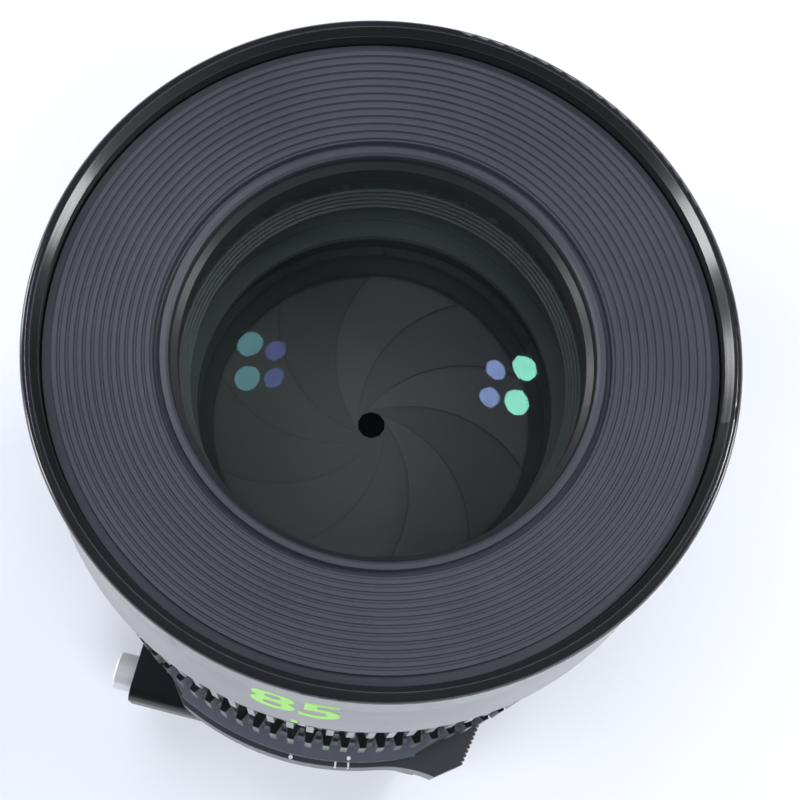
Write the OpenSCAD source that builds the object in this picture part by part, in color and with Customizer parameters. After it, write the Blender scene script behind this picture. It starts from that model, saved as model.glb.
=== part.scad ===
// Cinema prime lens standing on its rear mount, with every piece as its own solid.
// Millimetres. Z is the optical axis towards the front, Z = 0 is the camera flange face,
// and -Y is the side of the filter tray and of the index marks.
// Azimuths are in degrees from -Y towards +X. Drawn focused at infinity and stopped down.
// The gears set every diameter of the barrel, and the stack of rings sets every height.

/* [Gears and rings] */
// Gear module of the focus and iris gears
gear_module = 0.8; // [0.78:0.01:0.9]
// Number of teeth on each gear
gear_teeth = 99; // [96:1:110]
// Face width of each gear
gear_face = 8; // [6:0.5:10]
// Width of a tooth at its tip
tooth_tip_w = 0.9; // [0.6:0.05:1.1]
// Width of a tooth at its root
tooth_root_w = 1.9; // [1.6:0.05:2.1]
// Azimuth of the tooth beside the index
gear_phase = -0.5; // [-1.8:0.1:1.8]
// Metal under the tooth roots
gear_wall = 1.05; // [0.8:0.05:1.6]
// Wall of the focus and iris sleeves under the gears
sleeve_t = 1; // [0.8:0.1:1.6]
// Width of the iris scale
iris_scale_w = 7.8; // [6:0.1:10]
// Width of the fixed index ring between the scales
index_w = 2; // [1.8:0.1:4]
// Width of the focus scale
focus_scale_w = 7.8; // [6:0.1:10]
// Width of the plain ring in front of the focus gear
focus_cover_w = 6.3; // [5:0.1:9]
// How far a scale stands in from the tooth roots
scale_drop = 0.2; // [0.1:0.05:0.5]

/* [Front] */
// How far the front cylinder, 80 mm across, stands in from the gear tips
front_inset = 0.4; // [0.2:0.05:1]
// Length of the front cylinder's straight part
front_grip = 9; // [6:0.5:12]
// How far the front barrel's rear edge stands out from the gear tips
band_proud = 0.5; // [0.2:0.05:1.5]
// Length of the front barrel
band_len = 24.3; // [22:0.1:28]
// Wall between the front cylinder and the filter thread
rim_wall = 1.9; // [1.6:0.05:2.6]
// Depth of the filter thread below its bevel
thread_len = 2.8; // [2:0.1:4]
// Height of the bevel inside the rim
rim_bevel = 1; // [0.6:0.1:1.4]
// Width of the flat land on top of the rim
rim_land = 0.4; // [0.2:0.05:0.6]
// Radius of the rounded outer edge of the rim
rim_round = 0.75; // [0.4:0.05:0.9]
// How far the baffle's lip covers the ring behind it
lip_cover = 0.2; // [0.1:0.05:0.6]
// Drop of the baffle from its edge to its lip
baffle_drop = 2.6; // [1.8:0.1:3]
// Pitch of the baffle's ridges
ridge_pitch = 0.88; // [0.7:0.02:1.4]
// Depth of the grooves between ridges
ridge_depth = 0.35; // [0.2:0.05:0.6]
// Plain width of the baffle's lip
lip_w = 0.9; // [0.7:0.1:2.5]
// Width of the groove between the lip and the ridges
lip_groove_w = 0.7; // [0.5:0.05:1]
// Width of the sunk margin round the baffle
margin_w = 1.1; // [0.8:0.1:1.6]
// Thickness of the baffle
baffle_t = 1.6; // [1.2:0.1:1.8]

/* [Optics] */
// Clear diameter of the front element
front_clear_d = 47; // [42:0.2:48]
// Width of the front element's seat
front_seat_w = 1.1; // [0.8:0.1:3]
// Thickness of the front element's rim
front_edge_t = 3; // [2.6:0.1:4]
// Radius of curvature of the front element's outer face
front_face_r = 70; // [60:1:80]
// Radius of curvature of the front element's hollow inner face
front_hollow_r = 54; // [52:1:120]
// Depth of the front element's rim below the front
front_element_depth = 9.7; // [9:0.1:11]
// Clear diameter of the focusing elements
focus_clear_d = 44; // [38:0.2:49]
// Width of the focusing elements' seats
focus_seat_w = 2.6; // [2.2:0.1:3.4]
// Radius of curvature of the focusing elements' faces
focus_face_r = 110; // [100:1:160]
// Clear diameter of the rear elements
rear_clear_d = 44; // [38:0.2:48]
// Width of the rear elements' seats
rear_seat_w = 2.9; // [2.4:0.1:3.4]
// Radius of curvature of the rear elements' bulging faces
rear_bulge_r = 60; // [56:1:90]
// Radius of curvature of the rear elements' hollow faces
rear_hollow_r = 90; // [80:1:140]

/* [Focus movement] */
// Turn of the focus ring from infinity to the closest distance, in degrees
focus_turn = 270; // [180:5:300]
// Travel of the focusing cell over that turn
focus_travel = 7.5; // [6:0.1:8]
// Diameter of the cam rollers
roller_d = 1.8; // [1.4:0.1:2]
// Wall of the focus cam ring
cam_t = 1.2; // [1:0.1:1.6]
// Wall of the main barrel
barrel_wall = 2; // [1.6:0.1:2.4]

/* [Iris] */
// Diameter of the hole when stopped down
hole_d = 3.5; // [2.5:0.1:8]
// Diameter of the opening when wide open
open_d = 34; // [32:0.2:36]
// Thickness of a blade
blade_t = 0.12; // [0.08:0.01:0.15]
// Step from one blade's level to the next
blade_step = 0.2; // [0.18:0.01:0.24]
// Turn of the iris ring from stopped down to wide open, in degrees
iris_turn = 54; // [48:1:60]
// Diameter of the blades' pivot and drive pins
blade_pin_d = 1; // [0.8:0.05:1.1]
// Diameter of the pin that joins the iris ring to the drive ring
drive_pin_d = 3; // [2:0.1:3.4]

/* [Rear mount] */
// Height of the rear barrel's skirt
skirt_h = 8.5; // [7:0.1:11]
// How far the skirt lies inside the gear tips
skirt_inset = 0.8; // [0.5:0.05:1.2]
// How far the skirt's two index pads stand out from the gear tips
pad_proud = 0.9; // [0.6:0.05:1.2]
// Thickness of the lens flange
lens_flange_t = 3; // [2.6:0.1:3.6]
// How far the lens flange's four tabs stand out from the core
flange_proud = 1; // [0.6:0.05:1.4]
// Thickness of the lock collar's gripping lip
collar_lip_t = 2.85; // [2.4:0.05:3.6]
// How far the lock collar's lobes stand out from its round part
lobe_proud = 2.8; // [2:0.1:4]
// How far the thumb wing stands out from its lobe
wing_proud = 2.9; // [2:0.1:4]
// Pitch of the grip teeth on the wing
grip_pitch = 0.7; // [0.6:0.05:1]
// How far the mount housing stands out from its neck
housing_proud = 2; // [1.6:0.1:3]
// Floor of the mount housing under the tray
floor_t = 2.2; // [2:0.1:3]
// Roof of the mount housing over the tray
roof_t = 2.4; // [2:0.1:3.4]
// Height of the housing's neck inside the lock collar
neck_h = 2.6; // [2.4:0.1:3.4]
// Diameter of the light path through the mount
throat_d = 43; // [38:0.2:48]
// Wall of the bayonet's sleeve
bayonet_wall = 1.3; // [1.1:0.05:2]
// How far the bayonet's tabs stand out from its sleeve
bayonet_tab = 2; // [1.6:0.1:3]
// Depth of the bayonet behind its flange
bayonet_h = 5; // [4.4:0.1:6]
// Width of the bayonet's flange outside the tabs
plate_w = 6.7; // [6:0.1:8]
// Thickness of the bayonet's flange
plate_t = 2.5; // [2.2:0.1:3.5]

/* [Filter tray] */
// Thickness of the filter tray
tray_t = 5; // [4.4:0.1:6]
// Border of the tray round its filter
tray_border = 1.85; // [1.6:0.05:3]
// How far the filter overlaps the light path
filter_seat = 1.6; // [1.2:0.1:2]
// Thickness of the drop-in filter
filter_t = 2; // [1.5:0.1:2.2]
// Distance from the axis to the handle's inner face
handle_y = 29.3; // [27:0.1:31]
// Depth of the handle
handle_depth = 9.4; // [8:0.1:11]
// Reach of the handle's latch end from the middle
handle_left = 27.4; // [25:0.1:30]
// Reach of the handle's plain end from the middle
handle_right = 19.5; // [17:0.1:22]
// Radius of the handle's outer edges
handle_round = 2.2; // [1:0.1:3]
// Diameter of the release button
button_d = 5.9; // [4.8:0.1:6.2]
// How far the release button stands out
button_out = 3.4; // [2:0.1:4]
// Travel of the release button
button_travel = 1.6; // [1:0.1:1.8]

/* [Hidden] */
$fn = 120;

// Clearances: radial on running rings, axial between rings, and on pieces fixed to one another
run_clear = 0.1;
cam_clear = 0.2;
ring_gap = 0.4;
collar_gap = 0.3;
fixed_clear = 0.05;
slide_gap = 0.15;
pin_clear = 0.1;
cell_clear = 0.2;
// Overrun that lets a cutting shape pass through what it cuts
cut = 0.5;

// Heights of the mount, from the camera flange up
housing_z0 = plate_t;
slot_z0 = housing_z0 + floor_t;
tray_z0 = slot_z0 + slide_gap;
tray_z1 = tray_z0 + tray_t;
slot_z1 = tray_z1 + slide_gap;
housing_z1 = slot_z1 + roof_t;
seat_z = housing_z1 + neck_h;
lens_flange_z1 = seat_z + lens_flange_t;
lip_z = lens_flange_z1 + slide_gap;
collar_z0 = housing_z1 + collar_gap;
collar_z1 = lip_z + collar_lip_t;

// Heights of the rings, from the lock collar up
skirt_z0 = collar_z1 + collar_gap;
skirt_z1 = skirt_z0 + skirt_h;
iris_ring_z0 = skirt_z1 + ring_gap;
iris_gear_z0 = iris_ring_z0 + ring_gap;
iris_gear_z1 = iris_gear_z0 + gear_face;
iris_ring_z1 = iris_gear_z1 + iris_scale_w;
index_z0 = iris_ring_z1 + ring_gap;
index_z1 = index_z0 + index_w;
focus_ring_z0 = index_z1 + ring_gap;
focus_gear_z0 = focus_ring_z0 + focus_scale_w;
focus_gear_z1 = focus_gear_z0 + gear_face;
focus_ring_z1 = focus_gear_z1 + focus_cover_w;
band_z0 = focus_ring_z1 + ring_gap;
front_z = band_z0 + band_len;

// Radii of the rings, from the teeth inwards
gear_pitch_r = gear_module * gear_teeth / 2;
gear_tip_r = gear_pitch_r + gear_module;
gear_root_r = gear_pitch_r - 1.25 * gear_module;
gear_in_r = gear_root_r - gear_wall;
sleeve_r = gear_in_r - fixed_clear;
scale_r = gear_root_r - scale_drop;
sleeve_in_r = sleeve_r - sleeve_t;
cam_r = sleeve_in_r - run_clear;
cam_in_r = cam_r - cam_t;
core_r = cam_in_r - cam_clear;
ring_in_r = core_r + run_clear;
bore_r = core_r - barrel_wall;

// Front barrel and the flange of the core that it sits on
front_r = gear_tip_r - front_inset;
band_base_r = gear_tip_r + band_proud;
band_wall = 3.4;
band_in_r = band_base_r - band_wall;
thread_r = front_r - rim_wall;
ledge_w = 1.7;
ledge_t = 2.2;
ledge_z = front_z - rim_bevel - thread_len;
ledge_r = thread_r - ledge_w;
web_depth = 10;
web_t = 3;
web_z1 = front_z - web_depth;
web_z0 = web_z1 - web_t;
lock_ring_w = 2.2;
lock_ring_t = 2;
barrel_z1 = web_z1 + lock_ring_t;
barrel_flange_t = 2;
barrel_flange_r = cam_r + 0.5;

// Front element, baffle and the ring between them
front_clear_r = front_clear_d / 2;
front_edge_r = front_clear_r + front_seat_w;
front_element_z1 = front_z - front_element_depth;
front_element_z0 = front_element_z1 - front_edge_t;
shelf_t = 2.7;
front_cell_z0 = front_element_z0 - shelf_t;
front_flange_t = 1.4;
baffle_r = thread_r - slide_gap;
baffle_seat_t = 1.8;
baffle_edge_z = ledge_z + baffle_seat_t;
lip_r = front_edge_r - lip_cover;
lip_z0 = baffle_edge_z - baffle_drop - baffle_t;
retainer_z1 = lip_z0 + slide_gap;
lip_bevel = lip_cover + slide_gap + 0.15;

// Focusing cell below the front cell, drawn at its rear end of travel
cell_r = bore_r - cell_clear;
cell_h = 7;
cell_shelf_t = 1;
cell_rear_t = 3.2;
cell_front_t = 1.6;
cell_ring_t = 1;
cell_step_h = cell_h - cell_ring_t - cell_front_t;
cell_top_gap = 0.6;
cell_z0 = front_cell_z0 - cell_top_gap - focus_travel - cell_h;
cell_edge_r = focus_clear_d / 2 + focus_seat_w;
cell_inner_edge_r = cell_edge_r - 1.2;
focus_open_r = focus_clear_d / 2 + 0.3;
roller_z = cell_z0 + cell_h / 2;
roller_r0 = cell_r - 2.3;
roller_r1 = cam_r - pin_clear;
roller_az = [60, 180, 300];
cam_slot_w = roller_d + 2 * slide_gap;
cam_z0 = focus_gear_z1 - cam_clear;
cam_z1 = web_z0 - barrel_flange_t - collar_gap;

// Iris stack below the focusing cell
blade_count = 10;
iris_nut_t = 1.2;
base_plate_t = 1.2;
drive_ring_t = 1.5;
cell_rear_gap = 0.5;
iris_nut_z0 = cell_z0 - cell_rear_gap - iris_nut_t;
base_plate_z0 = iris_nut_z0 - base_plate_t;
blade_z0 = base_plate_z0 - cam_clear - blade_step * blade_count;
drive_ring_z0 = blade_z0 - slide_gap - drive_ring_t;
drive_seat_z = drive_ring_z0 - slide_gap;
drive_step = 0.4;
sleeve_step = 1.6;
iris_nut_w = 3;
drive_bore_r = bore_r - drive_step;
sleeve_bore_r = bore_r - sleeve_step;
drive_ring_r = drive_bore_r - cam_clear;
drive_sleeve_r = sleeve_bore_r - collar_gap;
drive_sleeve_t = 1.5;
drive_sleeve_in_r = drive_sleeve_r - drive_sleeve_t;
pivot_inset = 4.8;
pivot_r = bore_r - pivot_inset;
blade_out_r = pivot_r - 2 * blade_pin_d;
blade_in_r = open_d / 2;
close_angle = 2 * asin((open_d - hole_d) / (4 * pivot_r));
blade_arm = 0.248 * pivot_r;
blade_arm_az = -90 - close_angle / 2;
blade_pitch = 360 / blade_count;
drive_slot_w = blade_pin_d + 2 * slide_gap;
aperture_r = 0.738 * pivot_r;
drive_pin_z = (iris_gear_z1 + iris_ring_z1) / 2;
drive_sleeve_z0 = drive_pin_z - drive_pin_d;
drive_pin_r1 = scale_r - 1.2;
drive_pin_az = 100;

// Rear barrel, rear cell and its optics
skirt_r = gear_tip_r - skirt_inset;
pad_r = gear_tip_r + pad_proud;
pad_az = 26;
pad_ramp_az = 10;
pad_t = 2.5;
skirt_taper = 0.6;
skirt_top_r = skirt_r - skirt_taper;
skirt_seat = 2.7;
barrel_z0 = skirt_z0 + skirt_seat;
rear_clear_r = rear_clear_d / 2;
rear_edge_r = rear_clear_r + rear_seat_w;
rear_cell_bore_r = rear_edge_r + fixed_clear;
rear_cell_gap = 1.15;
rear_cell_r = drive_sleeve_in_r - rear_cell_gap;
rear_bore_r = rear_cell_r + cell_clear;
rear_flange_t = 2;
rear_nut_t = 2;
rear_flange_r = sleeve_bore_r - cell_clear;
rear_cell_z0 = barrel_z0 - 2;
rear_open_r = rear_clear_r + 0.3;
rear_ring_t = 2;
rear_ring_gap = 1.8;
rear_edge_t3 = 3;
rear_edge_t = 4;
rear_gap_rear = 10;
rear_gap_front = 6;
rear_lip_t = 1.2;
rear_z3 = rear_cell_z0 + rear_ring_gap + rear_ring_t;
rear_z2 = rear_z3 + rear_edge_t3 + rear_gap_rear;
rear_z1 = rear_z2 + rear_edge_t + rear_gap_front;
rear_cell_z1 = rear_z1 + rear_edge_t + rear_lip_t;

// Lens flange, lock collar and housing neck
tab_r = core_r + flange_proud;
tab_count = 4;
tab_angle = 44;
lip_angle = 40;
tab_w = 2.8;
between_r = tab_r - tab_w;
rear_neck_r = between_r;
lip_bore_r = rear_neck_r + ring_gap;
neck_w = 1.6;
neck_lip_r = tab_r + neck_w;
groove_r = neck_lip_r + collar_gap;
collar_wall = 1.3;
collar_base_r = groove_r + collar_wall;
neck_r = neck_lip_r - neck_w;
keeper_t = 0.8;
neck_lip_z0 = collar_z0 + keeper_t + cell_clear;
flange_bore_r = rear_bore_r - 1.4;
lobe_r = collar_base_r + lobe_proud;
lobe_az0 = -25;
lobe_az1 = 22;
wing_r = lobe_r + wing_proud;
wing_base_az = 18;
wing_tip_az = 29;
wing_corner_az = 35;
wing_end_az = 44.5;
wing_corner_r = wing_r - 0.4;
grip_depth = 0.4;
fillet_cos = wing_r * cos(wing_tip_az - wing_base_az);
fillet_r = (wing_r * wing_r + lobe_r * lobe_r - 2 * lobe_r * fillet_cos) / (2 * (fillet_cos - lobe_r));

// Camera bayonet and mount housing
throat_r = throat_d / 2;
bayonet_r = throat_r + bayonet_wall;
bayonet_tab_r = bayonet_r + bayonet_tab;
plate_r = bayonet_tab_r + plate_w;
housing_r = neck_r + housing_proud;
mask_t = 0.8;
mask_w = 1.4;

// Small screws
grub_d = 1.4;
index_grub_depth = 0.8;
skirt_grub_depth = 1.2;
grub_sink = 0.5;
small_screw_d = 1.6;
small_screw_len = 4;
small_head_d = 2.6;
small_head_h = 1;
mount_screw_d = 2;
mount_screw_len = 4;
mount_head_d = 3.8;
mount_head_h = 0.9;
screw_clear = 0.05;
index_screw_az = [100, 220, 340];
skirt_screw_az = [70, 190, 310];
collar_screw_az = [90, 210, 330];
cell_screw_az = [30, 150, 270];
flange_screw_az = [0, 90, 180, 270];
mount_screw_az = [30, 90, 150, 210, 270, 330];
index_screw_z = (index_z0 + index_z1) / 2;
skirt_screw_z = (barrel_z0 + skirt_z1) / 2;
collar_screw_z = collar_z0 + keeper_t / 2;
collar_grub_d = 0.6;
collar_grub_depth = 0.6;
cell_screw_r = (bore_r + core_r) / 2 - 0.2;
flange_screw_r = (rear_bore_r + rear_neck_r) / 2;
mount_screw_r = (plate_r + bayonet_tab_r) / 2;

// Tray, handle and button
filter_r = throat_r + filter_seat;
recess_r = filter_r + fixed_clear;
tray_r = recess_r + tray_border;
flat_y = handle_y - cell_clear;
handle_z0 = housing_z0 + 0.5;
handle_z1 = housing_z1 - ring_gap;
filter_ring_t = 0.9;
filter_z0 = tray_z1 - filter_t - filter_ring_t - pin_clear;
button_y = handle_y + 0.53 * handle_depth;
button_z = (handle_z0 + handle_z1) / 2;
button_r = button_d / 2;
button_in = 4.8;
button_bore_r = button_r + slide_gap;
spring_len = 2.2;
spring_d = 0.4;
button_bore_end = handle_left - button_in - button_travel - spring_len - pin_clear;
tray_screw_x = 12;
tray_screw_len = 5;
tray_screw_sink = 2.2;
tray_head_h = 1.8;

// A point at a radius and an azimuth
function polar(r, az) = [r * sin(az), -r * cos(az)];

// A ring between two radii and two heights
module tube(r_out, r_in, z0, z1) {
    translate([0, 0, z0]) difference() {
        cylinder(r = r_out, h = z1 - z0);
        translate([0, 0, -cut]) cylinder(r = r_in, h = z1 - z0 + 2 * cut);
    }
}

module disc(r, z0, z1) {
    translate([0, 0, z0]) cylinder(r = r, h = z1 - z0);
}

// A straight round rod that points outwards from the axis
module radial_rod(r0, r1, d, z, az) {
    rotate([0, 0, az]) translate([0, -r0, z]) rotate([90, 0, 0]) cylinder(d = d, h = r1 - r0, $fn = 32);
}

// Pieces repeated on a circle of azimuths
module around(az_list) {
    for (az = az_list) rotate([0, 0, az]) children();
}

// A pie slice that covers the azimuths az0 to az1, under 180 degrees
module slice(r, az0, az1) {
    reach = r / cos((az1 - az0) / 2) + cut;
    polygon([[0, 0], polar(reach, az0), polar(reach, (az0 + az1) / 2), polar(reach, az1)]);
}

// A lens element: a flat rim with a spherical face above and below it.
// A positive radius bulges outwards, a negative one is hollow, and 0 is flat.
function face_drop(face_r, clear_r) = sqrt(face_r * face_r - clear_r * clear_r);

module bulge(face_r, clear_r) {
    intersection() {
        translate([0, 0, -face_drop(face_r, clear_r)]) sphere(r = face_r);
        translate([0, 0, -0.2]) cylinder(r = clear_r, h = face_r);
    }
}

module hollow(face_r, clear_r) {
    translate([0, 0, face_drop(face_r, clear_r)]) sphere(r = -face_r);
}

module lens_element(z0, edge_t, edge_r, clear_r, top_r, bottom_r) {
    difference() {
        union() {
            disc(edge_r, z0, z0 + edge_t);
            if (top_r > 0) translate([0, 0, z0 + edge_t]) bulge(top_r, clear_r);
            if (bottom_r > 0) translate([0, 0, z0]) mirror([0, 0, 1]) bulge(bottom_r, clear_r);
        }
        if (top_r < 0) translate([0, 0, z0 + edge_t]) hollow(top_r, clear_r);
        if (bottom_r < 0) translate([0, 0, z0]) mirror([0, 0, 1]) hollow(bottom_r, clear_r);
    }
}

// Outline of a gear as four points a tooth
function tooth(a) = let (
    root = asin(tooth_root_w / 2 / gear_root_r),
    tip = asin(tooth_tip_w / 2 / gear_tip_r)
) [polar(gear_root_r, a - root), polar(gear_tip_r, a - tip),
    polar(gear_tip_r, a + tip), polar(gear_root_r, a + root)];

module drive_gear(z0) {
    translate([0, 0, z0]) difference() {
        linear_extrude(gear_face)
            polygon([for (i = [0:gear_teeth - 1]) each tooth(gear_phase + i * 360 / gear_teeth)]);
        translate([0, 0, -cut]) cylinder(r = gear_in_r, h = gear_face + 2 * cut);
    }
}

// Front barrel: rounded rim, bevel, filter thread, baffle ledge and the web that joins it to the core
module front_barrel() {
    land_r = front_r - rim_round;
    bevel_r = land_r - rim_land;
    grip_z = front_z - front_grip;
    color("#16171a") rotate_extrude() {
        polygon([[ring_in_r, web_z0], [band_in_r, web_z0], [band_in_r, band_z0],
            [band_base_r, band_z0], [front_r, grip_z], [front_r, front_z - rim_round],
            [land_r, front_z - rim_round], [land_r, front_z], [bevel_r, front_z],
            [thread_r, front_z - rim_bevel], [thread_r, ledge_z], [ledge_r, ledge_z],
            [ledge_r, ledge_z - ledge_t], [band_in_r, ledge_z - ledge_t], [band_in_r, web_z1],
            [ring_in_r, web_z1]]);
        translate([land_r, front_z - rim_round]) intersection() {
            circle(r = rim_round, $fn = 48);
            square(rim_round);
        }
    }
}

// Ridged baffle: a sunk margin, fine ridges, a groove, and a plain lip
module front_baffle() {
    margin_z = baffle_edge_z - 0.8;
    groove_depth = baffle_t / 2;
    land_r = lip_r + lip_w;
    ridge_r1 = baffle_r - margin_w;
    ridge_r0 = land_r + lip_groove_w;
    ridges = floor((ridge_r1 - ridge_r0) / ridge_pitch);
    step = (ridge_r1 - ridge_r0) / ridges;
    slope = baffle_drop / (baffle_r - lip_r);
    function top_z(r) = baffle_edge_z - (baffle_r - r) * slope;
    color("#2a2b2f") rotate_extrude() polygon([
        [baffle_r, ledge_z], [baffle_r, margin_z], [ridge_r1 + 0.1, margin_z],
        for (i = [0:ridges - 1]) let (r = ridge_r1 - i * step)
            each [[r, top_z(r)], [r - 0.5 * step, top_z(r - 0.5 * step)],
                [r - 0.62 * step, top_z(r) - ridge_depth], [r - 0.86 * step, top_z(r) - ridge_depth]],
        [ridge_r0, top_z(ridge_r0)], [ridge_r0 - 0.1, top_z(ridge_r0) - groove_depth],
        [land_r + 0.1, top_z(land_r) - groove_depth], [land_r, top_z(land_r)],
        [lip_r + 0.3, top_z(lip_r)], [lip_r, top_z(lip_r) - 0.3], [lip_r, lip_z0 + lip_bevel],
        [lip_r + lip_bevel, lip_z0],
        [ledge_r - slide_gap, top_z(ledge_r) - baffle_t], [ledge_r - slide_gap, ledge_z]]);
}

// Plain ring that clamps the front element, bevelled at its mouth
module front_retaining_ring() {
    bevel = front_seat_w - 0.4;
    color("#1b1c1f") rotate_extrude() polygon([
        [front_clear_r, front_element_z1], [front_clear_r, retainer_z1 - bevel],
        [front_clear_r + bevel, retainer_z1], [front_edge_r, retainer_z1], [front_edge_r, front_element_z1]]);
}

// Cell of the front element, with a stepped cone below the glass that traps stray light
module front_cell() {
    edge_bore = front_edge_r + fixed_clear;
    trap_r1 = front_clear_r + 0.4 * front_seat_w;
    trap_r0 = focus_open_r + 0.3;
    steps = 5;
    rise = shelf_t / steps;
    run = (trap_r1 - trap_r0) / steps;
    color("#1b1c1f") difference() {
        union() {
            disc(cell_r, front_cell_z0, barrel_z1);
            disc(core_r - 0.4, barrel_z1, barrel_z1 + front_flange_t);
        }
        disc(edge_bore, front_element_z0, front_z);
        rotate_extrude() polygon([
            [0, front_cell_z0 - cut], [trap_r0, front_cell_z0 - cut],
            for (i = [0:steps - 1]) each [[trap_r0 + i * run, front_cell_z0 + (i + 0.3) * rise],
                [trap_r0 + (i + 1) * run, front_cell_z0 + (i + 0.6) * rise]],
            [trap_r1, front_element_z0 + cut], [0, front_element_z0 + cut]]);
        around(cell_screw_az) translate([0, -cell_screw_r, front_cell_z0 - cut])
            cylinder(d = small_screw_d + 2 * screw_clear, h = front_z, $fn = 24);
    }
}

module front_element() {
    color("#20302c", 0.4)
        lens_element(front_element_z0, front_edge_t, front_edge_r, front_clear_r,
            front_face_r, -front_hollow_r);
}

module barrel_lock_ring() {
    color("#2b2c30") tube(core_r + lock_ring_w, core_r + fixed_clear, web_z1, barrel_z1);
}

module front_cell_screws() {
    head_z = barrel_z1 + front_flange_t;
    color("#3a3b3e") around(cell_screw_az) translate([0, -cell_screw_r, 0]) {
        translate([0, 0, barrel_z1 - small_screw_len])
            cylinder(d = small_screw_d, h = small_screw_len + front_flange_t, $fn = 24);
        difference() {
            translate([0, 0, head_z]) cylinder(d = small_head_d, h = small_head_h, $fn = 24);
            translate([0, 0, head_z + 0.5 * small_head_h])
                cylinder(d = 0.46 * small_head_d, h = small_head_h, $fn = 6);
        }
    }
}

// Main barrel: fixed core that carries both rings outside and every cell inside
module main_barrel() {
    guide_z0 = roller_z - cam_slot_w / 2;
    guide_h = focus_travel + cam_slot_w;
    color("#232428") difference() {
        union() {
            disc(core_r, barrel_z0, barrel_z1);
            disc(barrel_flange_r, web_z0 - barrel_flange_t, web_z0);
        }
        disc(bore_r, base_plate_z0, barrel_z1 + cut);
        disc(drive_bore_r, drive_seat_z, barrel_z1);
        disc(sleeve_bore_r, barrel_z0 - cut, barrel_z1);
        around(roller_az) translate([-cam_slot_w / 2, -core_r - cut, guide_z0])
            cube([cam_slot_w, 2 * barrel_wall + cut, guide_h]);
        translate([0, 0, drive_pin_z]) drive_pin_slot();
        around(index_screw_az)
            radial_rod(core_r - index_grub_depth, core_r + cut, grub_d + 2 * screw_clear, index_screw_z, 0);
        around(skirt_screw_az)
            radial_rod(core_r - skirt_grub_depth, core_r + cut, grub_d + 2 * screw_clear, skirt_screw_z, 0);
        around(cell_screw_az) translate([0, -cell_screw_r, barrel_z1 - small_screw_len - cell_clear])
            cylinder(d = small_screw_d + 2 * screw_clear, h = small_screw_len + cell_clear + cut, $fn = 24);
    }
}

// Slot that lets the iris drive pin sweep its turn
module drive_pin_slot() {
    slot_w = drive_pin_d + 2 * cell_clear;
    overrun = 1;
    rotate([0, 0, drive_pin_az]) {
        translate([0, 0, -slot_w / 2]) linear_extrude(slot_w) difference() {
            slice(core_r + 1, -overrun, iris_turn + overrun);
            circle(r = sleeve_bore_r - 1);
        }
        for (az = [-overrun, iris_turn + overrun])
            radial_rod(sleeve_bore_r - 1, core_r + 1, slot_w, 0, az);
    }
}

module index_ring() {
    color("#1b1c1f") difference() {
        tube(scale_r, core_r + fixed_clear, index_z0, index_z1);
        around(index_screw_az)
            radial_rod(core_r - cut, scale_r + cut, grub_d + 2 * screw_clear, index_screw_z, 0);
    }
}

// Headless screws that hold the index ring and the rear barrel on the core
module grub_screws() {
    color("#55565a") {
        for (az = index_screw_az)
            radial_rod(core_r - index_grub_depth, scale_r - grub_sink, grub_d, index_screw_z, az);
        for (az = skirt_screw_az)
            radial_rod(core_r - skirt_grub_depth, skirt_top_r - grub_sink, grub_d, skirt_screw_z, az);
    }
}

// A spot at a blade's pivot, before the blade is turned about it
function pivot() = polar(pivot_r, 0);

// The drive pin's place on a blade that is closed by the angle b
function pin_at(b) = pivot() + blade_arm * [cos(blade_arm_az + b - 90), sin(blade_arm_az + b - 90)];

function turned(p, a) = [p[0] * cos(a) - p[1] * sin(a), p[0] * sin(a) + p[1] * cos(a)];

// The pin's path in the drive ring, when the ring has turned by a
function pin_path(a) = turned(pin_at(close_angle * (1 - a / iris_turn)), -a);

module iris_base_plate() {
    color("#18191b") difference() {
        tube(bore_r - fixed_clear, aperture_r, base_plate_z0, base_plate_z0 + base_plate_t);
        for (i = [0:blade_count - 1]) rotate([0, 0, i * blade_pitch])
            translate([0, -pivot_r, base_plate_z0 - cut])
                cylinder(d = blade_pin_d + 2 * pin_clear, h = base_plate_t + 2 * cut, $fn = 24);
    }
}

module iris_retaining_ring() {
    color("#232428") tube(bore_r - fixed_clear, bore_r - iris_nut_w, iris_nut_z0, iris_nut_z0 + iris_nut_t);
}

// One iris blade: a wide arc, an ear with two riveted pins, and the level that it lies on
module iris_blade(i) {
    tail_az = 88;
    mid_r = (blade_in_r + blade_out_r) / 2;
    half_w = (blade_out_r - blade_in_r) / 2;
    ear_r = 1.3 * blade_pin_d;
    z0 = blade_z0 + i * blade_step;
    pin = pin_at(0);
    color("#3c3e40") rotate([0, 0, i * blade_pitch])
        translate([0, -pivot_r]) rotate([0, 0, close_angle]) translate([0, pivot_r]) {
            translate([0, 0, z0]) linear_extrude(blade_t) {
                difference() {
                    intersection() {
                        circle(r = blade_out_r);
                        slice(blade_out_r, -6, tail_az);
                    }
                    circle(r = blade_in_r);
                }
                translate(polar(mid_r, tail_az)) circle(r = half_w, $fn = 48);
                polygon([polar(blade_out_r - 1, -5), polar(blade_out_r - 1, 5),
                    polar(pivot_r, 2.6), polar(pivot_r, -2.6)]);
                translate(pivot()) circle(r = ear_r, $fn = 32);
                translate(pin) circle(r = ear_r, $fn = 32);
                translate(pivot()) rotate([0, 0, blade_arm_az - 90])
                    translate([0, -0.9 * ear_r]) square([blade_arm, 1.8 * ear_r]);
            }
            translate([0, -pivot_r, z0])
                cylinder(d = blade_pin_d, h = base_plate_z0 + 0.75 * base_plate_t - z0, $fn = 24);
            translate([pin[0], pin[1], drive_ring_z0 + slide_gap])
                cylinder(d = blade_pin_d, h = z0 + blade_t - drive_ring_z0 - slide_gap, $fn = 24);
        }
}

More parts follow.
